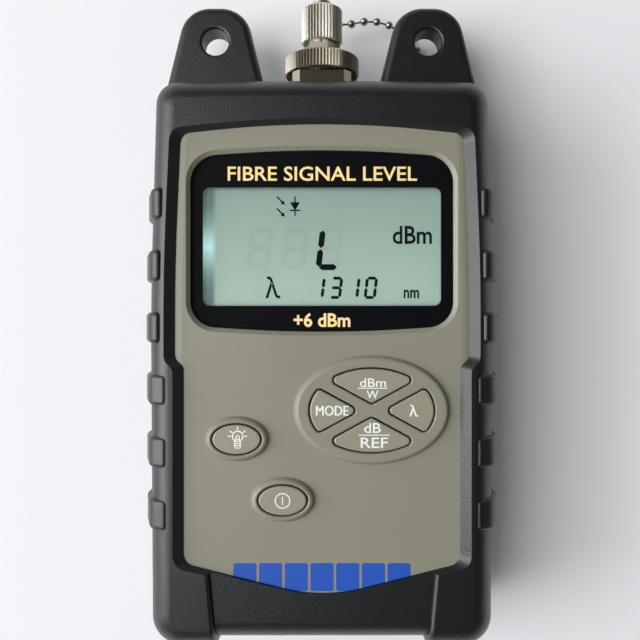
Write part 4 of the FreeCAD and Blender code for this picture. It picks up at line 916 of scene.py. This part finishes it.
# ---------------- key legends
@dataclass
class KeyLegends:
    """White signs printed on the six keys; sizes in millimetres from each key's middle.

    Attributes:
        paints: Source of built materials.
        fine_line: Width of the rules and of the signs' finer lines.
        bold_line: Width of the signs' bolder lines.
        layer: Lift of each part above the one before it, so that no faces coincide.
        spread: Shift of a word's two passes, to the left and to the right.
        fractions: Keys with two words: the words, and the place and length of the rule between them.
        words: Keys with one word.
        lamp: Place of the lamp sign.
        bulb: Radius of its bulb.
        filament: Height and radius of the ring inside it.
        posts: Pairs of uprights below: distance from the middle, height and length.
        rungs: Level lines across them: height and length.
        rays: Headings of the rays, degrees.
        ray: Distance of a ray's middle from the bulb's, and its length.
        power: Radius of the power sign's ring, and length of its bar.
    """

    paints: Paintbox
    fine_line: float = 0.21
    bold_line: float = 0.25
    layer: float = 0.003
    spread: float = 0.06
    fractions: tuple[tuple[str, Line, Line, tuple[float, float, float]], ...] = (
        ("key_unit", Line("dBm", 0.2, 0.72, 1.9, 5.8, 0.9), Line("W", 0.1, -1.92, 1.8, 2.6, 0.9),
         (0.15, -0.51, 6.5)),
        ("key_reference", Line("dB", 0.1, 1.65, 2.2, 3.7, 0.9), Line("REF", 0.5, -1.6, 2.3, 6.0, 0.9),
         (0.5, 0.08, 6.9)))
    words: tuple[tuple[str, Line], ...] = (("key_mode", Line("MODE", 0.05, 0.0, 2.2, 7.1)),
                                           ("key_wavelength", Line("λ", 0.4, 0.0, 2.6, 1.9)))
    lamp: tuple[float, float] = (0.3, 0.75)
    bulb: float = 1.14
    filament: tuple[float, float] = (-0.27, 0.4)
    posts: tuple[tuple[float, float, float], ...] = ((0.4, -0.7, 0.85), (0.64, -1.72, 1.7))
    rungs: tuple[tuple[float, float], ...] = ((-1.15, 1.3), (-1.62, 1.3), (-2.1, 1.3), (-2.6, 1.0))
    rays: tuple[int, ...] = (0, 35, 90, 145, 180)
    ray: tuple[float, float] = (1.77, 0.75)
    power: tuple[float, float] = (1.6, 1.85)

    def face(self, node: str) -> Vector:
        """Centre of a key's face, a little below its surface."""
        middle = middle_of(node)
        return Vector((middle.x, middle.y, top_of(node) - PRINT_SINK))

    def finish(self, parts: list[Object], node: str) -> None:
        """Join a legend's parts on their key, each a hair above the one before it.

        Args:
            parts: One mesh for each part.
            node: The key.
        """
        for n, part in enumerate(parts):
            part.location.z += n * self.layer * MM
        settle(join(parts), f"{node}_legend", f"{node}_body", self.paints.get(WHITE_PRINT))

    def print_fractions(self) -> None:
        """Print the keys that have two words with a rule between them."""
        for node, upper, lower, rule in self.fractions:
            base = self.face(node)
            self.finish([lettering(upper, base), lettering(lower, base), bar(base, *rule, self.fine_line)],
                        node)

    def print_words(self) -> None:
        """Print the keys that have one word, in two passes that make its strokes bold."""
        for node, line in self.words:
            passes = [lettering(line._replace(x=line.x + shift), self.face(node))
                      for shift in (-self.spread, self.spread)]
            self.finish(passes, node)

    def print_lamp(self, node: str) -> None:
        """Print a small lamp with rays.

        Args:
            node: The key.
        """
        base = self.face(node) + millimetres(*self.lamp)
        parts = [ring(base, 0, self.bulb, self.bold_line), ring(base, *self.filament, self.fine_line)]
        for x, y, length in self.posts:
            for side in (-x, x):
                parts.append(bar(base, side, y, length, self.fine_line, UPRIGHT))
        for y, length in self.rungs:
            parts.append(bar(base, 0, y, length, self.fine_line))
        reach, length = self.ray
        for degrees in self.rays:
            angle = math.radians(degrees)
            parts.append(bar(base, reach * math.cos(angle), reach * math.sin(angle), length,
                             self.bold_line, angle))
        self.finish(parts, node)

    def print_power(self, node: str) -> None:
        """Print a ring with an upright bar.

        Args:
            node: The key.
        """
        base = self.face(node)
        radius, length = self.power
        self.finish([ring(base, 0, radius, self.bold_line),
                     bar(base, 0, 0, length, self.fine_line, UPRIGHT)], node)

    def build(self) -> None:
        """Print all six keys."""
        self.print_fractions()
        self.print_words()
        self.print_lamp("key_backlight")
        self.print_power("key_power")


# ---------------- case print
@dataclass
class CaseStripe:
    """Plain blue blocks printed at the foot of the case's face, partly under the boot; sizes in metres.

    Attributes:
        paints: Source of built materials.
        block: Width and length of a block.
        pitch: Step from one block to the next.
        count: Number of blocks.
        above_end: Distance of the blocks from the case's lower end.
        corner: Radius of a block's corners.
        corner_steps: Flats along each corner.
        face_above_window: Height of the printed face above the window.
    """

    paints: Paintbox
    block: tuple[float, float] = (5.15 * MM, 6.2 * MM)
    pitch: float = 5.72 * MM
    count: int = 7
    above_end: float = 10.6 * MM
    corner: float = 0.5 * MM
    corner_steps: int = 3
    face_above_window: float = 0.9 * MM

    def build(self) -> None:
        """Print the blocks."""
        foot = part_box("front_case")[0][1] + self.above_end
        face = top_of("display_window") + self.face_above_window
        width, length = self.block
        blocks = []
        for n in range(self.count):
            left = (n - (self.count - 1) / 2) * self.pitch - width / 2
            blocks.append(rounded_plate(Vector((left, foot, face - PRINT_SINK)),
                                        Vector((left + width, foot + length, face + PRINT_THICKNESS)),
                                        self.corner, self.corner_steps))
        settle(join(blocks), "case_stripe", METER, self.paints.get(BLUE_PRINT))


# ---------------- threads
@dataclass
class Threads:
    """Fine thread ridges on the adapter's nose; sizes in metres.

    Attributes:
        paints: Source of built materials.
        centre_radius: Radius at the centre of the ridge's section, which is a triangle.
        depth: Height of the ridge from its foot to its crest.
        pitch: Step from one turn to the next.
        section_share: Scale of the section along the nose, as a share of the pitch.
        turns: Number of turns.
        end_gap: Room kept free at the nose's end.
        steps: Flats round one turn.
    """

    paints: Paintbox
    centre_radius: float = 3.965 * MM
    depth: float = 0.09 * MM
    pitch: float = 0.75 * MM
    section_share: float = 0.42
    turns: int = 7
    end_gap: float = 0.5 * MM
    steps: int = ROUND_STEPS

    def profile(self) -> Object:
        """Outline the ridge's section, its crest away from the nose's axis.

        Returns:
            The mesh object, three edges without a face.
        """
        piece = add(bpy.ops.mesh.primitive_circle_add, vertices=3, radius=1.0, fill_type="NGON",
                    location=(self.centre_radius, 0, 0), rotation=(0, 0, -UPRIGHT))
        piece.scale = (self.pitch * self.section_share, self.depth / UNIT_TRIANGLE_HEIGHT, 1.0)
        apply_place()
        with editing(Pick.ALL):
            bpy.ops.mesh.delete(type="ONLY_FACE")
        return piece

    def build(self) -> None:
        """Wind one ridge round the nose."""
        piece = self.profile()
        apply_modifier(piece, "SCREW", axis="Y", angle=2 * math.pi, screw_offset=self.pitch,
                       iterations=self.turns, steps=self.steps, render_steps=self.steps)
        with editing(Pick.NONE):    # close both ends
            bpy.ops.mesh.select_mode(type="EDGE")
            bpy.ops.mesh.select_non_manifold()
            bpy.ops.mesh.fill()
        with editing(Pick.ALL):
            bpy.ops.mesh.normals_make_consistent(inside=False)
        middle = middle_of("fibre_adapter")
        end_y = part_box("fibre_adapter")[1][1] - self.end_gap
        piece.location = (middle.x, end_y - self.pitch * (self.turns + 0.5), middle.z)
        settle(piece, "nose_thread", "adapter_body", self.paints.get(NICKEL))


# ---------------- chain
@dataclass
class BeadChain:
    """The bead chain in two lengths, cut at the loop's far end; sizes in metres.

    Attributes:
        paints: Source of built materials.
        far_y: Y near the loop's far end where the two lengths meet, in the middle of one link.
        anchor_bend: X and Y where the first length starts and stops to give way; not used.
        cap_bend: X where the second length starts and stops to give way; not used.
        crease: Angle past which an edge stays sharp, radians.
    """

    paints: Paintbox
    far_y: float = 67.85 * MM
    anchor_bend: tuple[tuple[float, float], ...] = ((9.8 * MM, 56.5 * MM), (25.0 * MM, 67.5 * MM))
    cap_bend: tuple[float, float] = (25.0 * MM, 1.4 * MM)
    crease: float = math.radians(35)

    def length_of(self, name: str, past_far_end: bool) -> Object:
        """Copy the CAD chain on one side of the loop's far end.

        Args:
            name: The new piece's name.
            past_far_end: Whether it is the length that ends at the cap.

        Returns:
            The mesh object, not yet on any body.
        """
        copies = []
        for node in ("chain_beads", "chain_links"):
            source = bpy.data.objects[node]
            mesh = source.data.copy()
            mesh.transform(source.matrix_world)
            copy = bpy.data.objects.new(name, mesh)
            bpy.context.scene.collection.objects.link(copy)
            copies.append(copy)
            select_only(copy)
            merge_corners()
            with editing(Pick.ALL):
                bpy.ops.mesh.bisect(plane_co=(0, self.far_y, 0), plane_no=(0, 1, 0), use_fill=True,
                                    clear_inner=past_far_end, clear_outer=not past_far_end)
        piece = join(copies)
        piece.name = name
        bpy.ops.mesh.customdata_custom_splitnormals_clear()
        bpy.ops.object.shade_smooth_by_angle(angle=self.crease)
        return piece

    def build(self) -> None:
        """Make both lengths in place of the CAD chain."""
        from_anchor = self.length_of("chain_from_anchor", False)
        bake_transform(from_anchor)
        from_cap = self.length_of("chain_from_cap", True)
        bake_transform(from_cap)
        for piece in (from_anchor, from_cap):
            dress(piece, self.paints.get(NICKEL))
            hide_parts("chain_beads", "chain_links")
            log.info("%s bends with the cap", piece.name)


# ---------------- studio
class Softbox(NamedTuple):
    """One square lamp: its name, place in metres, power in watts and side in metres."""

    name: str
    place: tuple[float, float, float]
    power: float
    side: float


@dataclass
class Studio:
    """Floor, lamps, room and camera; sizes in metres.

    Attributes:
        camera_place: Camera's place; it looks straight down.
        focal_length: Camera's focal length in millimetres.
        near_clip: Nearest distance that the camera sees.
        floor_size: Side of the floor.
        floor_height: Height of the floor, a hair below the meter.
        paper: sRGB hex colour of the floor's paper.
        paper_glow: sRGB hex colour of what is added to it for the camera.
        paper_lift: How much of that is added.
        paper_roughness: Shader roughness of the paper.
        softboxes: A window on the left, and its lower part, which lights the boot's shoulder.
        room: Brightness of the room from the level up to straight overhead, where the camera's
            stand is in the way.
        room_sides: How much of that brightness the window side and the warmer far side have.
        wall: Linear colours of the plain wall behind the floor, on the window side and the far side; the
            far side is painted darker as shade from the window.
        wall_top: Sines of the angles above the level between which the wall ends.
        sweep: Distances from the meter between which the paper curves up into that wall.
    """

    camera_place: tuple[float, float, float] = (-0.43 * MM, -2.7 * MM, 0.196)
    focal_length: float = 40.95
    near_clip: float = 0.01
    floor_size: float = 6.0
    floor_height: float = -0.2 * MM
    paper: str = "eef0f3"
    paper_glow: str = "fbfcff"
    paper_lift: float = 0.05
    paper_roughness: float = 0.9
    softboxes: tuple[Softbox, ...] = (Softbox("window_softbox", (-0.87, -0.02, 1.3), 17.4, 1.1),
                                      Softbox("low_window_softbox", (-1.6, 0.0, 0.7), 20.5, 1.2))
    room: tuple[tuple[float, float], ...] = ((0.5, 0.37), (0.8, 0.3), (0.93, 0.09), (1.0, 0.03))
    room_sides: tuple[Colour, Colour] = ((1.5, 1.5, 1.52), (0.29, 0.25, 0.23))
    wall: tuple[Colour, Colour] = ((0.84, 0.85, 0.87), (0.32, 0.32, 0.33))
    wall_top: tuple[float, float] = (0.12, 0.38)
    sweep: tuple[float, float] = (0.25, 1.3)

    def seen(self, tree: Tree) -> NodeSocket:
        """Tell rays that look at the background, directly or in metal and glass, from light.

        Args:
            tree: Material or world that gets the nodes.

        Returns:
            A socket that is 1 for such a ray and 0 for any other.
        """
        path = add_node(tree, "LightPath")
        mirrored = add_node(tree, "Math", inputs={0: path.outputs["Is Camera Ray"],
                                                  1: path.outputs["Is Glossy Ray"]},
                            operation="MAXIMUM")
        every = add_node(tree, "Math", inputs={0: mirrored.outputs["Value"],
                                               1: path.outputs["Is Transmission Ray"]},
                         operation="MAXIMUM")
        return every.outputs["Value"]

    def across(self, tree: Tree, x: NodeSocket, ends: tuple[Colour, Colour]) -> NodeSocket:
        """Blend two colours from the window side to the far side.

        Args:
            tree: Material or world that gets the nodes.
            x: X of the unit vector that points that way.
            ends: Linear colours of the window side and of the far side.

        Returns:
            The colour's socket.
        """
        share = add_node(tree, "MapRange", {"From Min": -1.0, "From Max": 1.0}, {"Value": x})
        blend = add_node(tree, "Mix", {6: (*ends[0], 1.0), 7: (*ends[1], 1.0)},
                         {0: share.outputs["Result"]}, data_type="RGBA")
        return blend.outputs[2]

    def paper_finish(self) -> Material:
        """Build white paper that curves up into the wall for rays that look at it.

        Returns:
            The finished material.
        """
        material = new_material("white paper sweep")
        paper = add_node(material, "BsdfPrincipled",
                         {"Base Color": linear(self.paper), "Roughness": self.paper_roughness})
        seen = self.seen(material)
        lift = add_node(material, "Math", {1: self.paper_lift}, {0: seen}, operation="MULTIPLY")
        glow = add_node(material, "Emission", {"Color": linear(self.paper_glow)},
                        {"Strength": lift.outputs["Value"]})
        both = add_node(material, "AddShader", inputs={0: paper.outputs["BSDF"],
                                                       1: glow.outputs["Emission"]})
        place = add_node(material, "TexCoord").outputs["Object"]
        away = add_node(material, "VectorMath", inputs={0: place}, operation="LENGTH")
        rise = add_node(material, "MapRange", {"From Min": self.sweep[0], "From Max": self.sweep[1]},
                        {"Value": away.outputs["Value"]}, interpolation_type="SMOOTHSTEP")
        share = add_node(material, "Math", inputs={0: rise.outputs["Result"], 1: seen},
                         operation="MULTIPLY")
        heading = add_node(material, "VectorMath", inputs={0: place}, operation="NORMALIZE")
        axes = add_node(material, "SeparateXYZ", inputs={"Vector": heading.outputs["Vector"]})
        # the wall is painted darker on the far side, as shade from the window
        wall = add_node(material, "Emission",
                        inputs={"Color": self.across(material, axes.outputs["X"], self.wall)})
        sweep = add_node(material, "MixShader",
                         inputs={0: share.outputs["Value"], 1: both.outputs["Shader"],
                                 2: wall.outputs["Emission"]})
        finish_output(material, sweep.outputs["Shader"])
        return material

    def floor(self) -> None:
        """Lay the white floor."""
        plane = add(bpy.ops.mesh.primitive_plane_add, size=self.floor_size,
                    location=(0, 0, self.floor_height))
        plane.name = "floor"
        dress(plane, self.paper_finish())

    def hang(self, box: Softbox) -> None:
        """Hang one square lamp that faces the meter.

        Args:
            box: The lamp.
        """
        lamp = add(bpy.ops.object.light_add, type="AREA", location=box.place)
        lamp.name = box.name
        lamp.data.energy = box.power
        lamp.data.size = box.side
        lamp.rotation_euler = (-Vector(box.place)).to_track_quat("-Z", "Y").to_euler()

    def world(self) -> None:
        """Fill the room with soft white light that fades overhead."""
        world = bpy.data.worlds.new("studio room")
        bpy.context.scene.world = world
        world.use_nodes = True
        world.node_tree.nodes.clear()
        heading = add_node(world, "TexCoord").outputs["Generated"]
        axes = add_node(world, "SeparateXYZ", inputs={"Vector": heading})
        height = add_node(world, "MapRange", {"From Min": -1.0, "From Max": 1.0},
                          {"Value": axes.outputs["Z"]})
        fade = add_node(world, "ValToRGB", inputs={"Fac": height.outputs["Result"]},
                        stops=[(place, (bright, bright, bright, 1.0)) for place, bright in self.room])
        room = add_node(world, "VectorMath",
                        inputs={0: fade.outputs["Color"],
                                1: self.across(world, axes.outputs["X"], self.room_sides)},
                        operation="MULTIPLY")
        band = add_node(world, "MapRange",
                        {"From Min": self.wall_top[0], "From Max": self.wall_top[1], "To Min": 1.0,
                         "To Max": 0.0}, {"Value": axes.outputs["Z"]}, interpolation_type="SMOOTHSTEP")
        share = add_node(world, "Math", inputs={0: band.outputs["Result"], 1: self.seen(world)},
                         operation="MULTIPLY")
        # rays that look at the background see the wall, painted darker on the far side as shade
        colour = add_node(world, "Mix",
                          inputs={0: share.outputs["Value"], 6: room.outputs["Vector"],
                                  7: self.across(world, axes.outputs["X"], self.wall)}, data_type="RGBA")
        background = add_node(world, "Background", inputs={"Color": colour.outputs[2]})
        add_node(world, "OutputWorld", inputs={"Surface": background.outputs["Background"]})

    def camera(self) -> None:
        """Set the camera straight above the meter."""
        camera = add(bpy.ops.object.camera_add, location=self.camera_place)
        camera.data.lens = self.focal_length
        camera.data.clip_start = self.near_clip
        bpy.context.scene.camera = camera

    def build(self) -> None:
        """Set up the whole studio."""
        self.floor()
        for box in self.softboxes:
            self.hang(box)
        self.world()
        self.camera()
        bpy.context.scene.view_settings.view_transform = "Standard"


def main() -> None:
    """Dress the meter, print its legends and light it."""
    logging.basicConfig(level=logging.INFO, format="%(name)s: %(message)s")
    paints = Paintbox()
    for assembly in (CadFinishes, Display, KeyLegends, CaseStripe, Threads, BeadChain):
        assembly(paints).build()
    Studio().build()


if __name__ == "__main__":
    main()
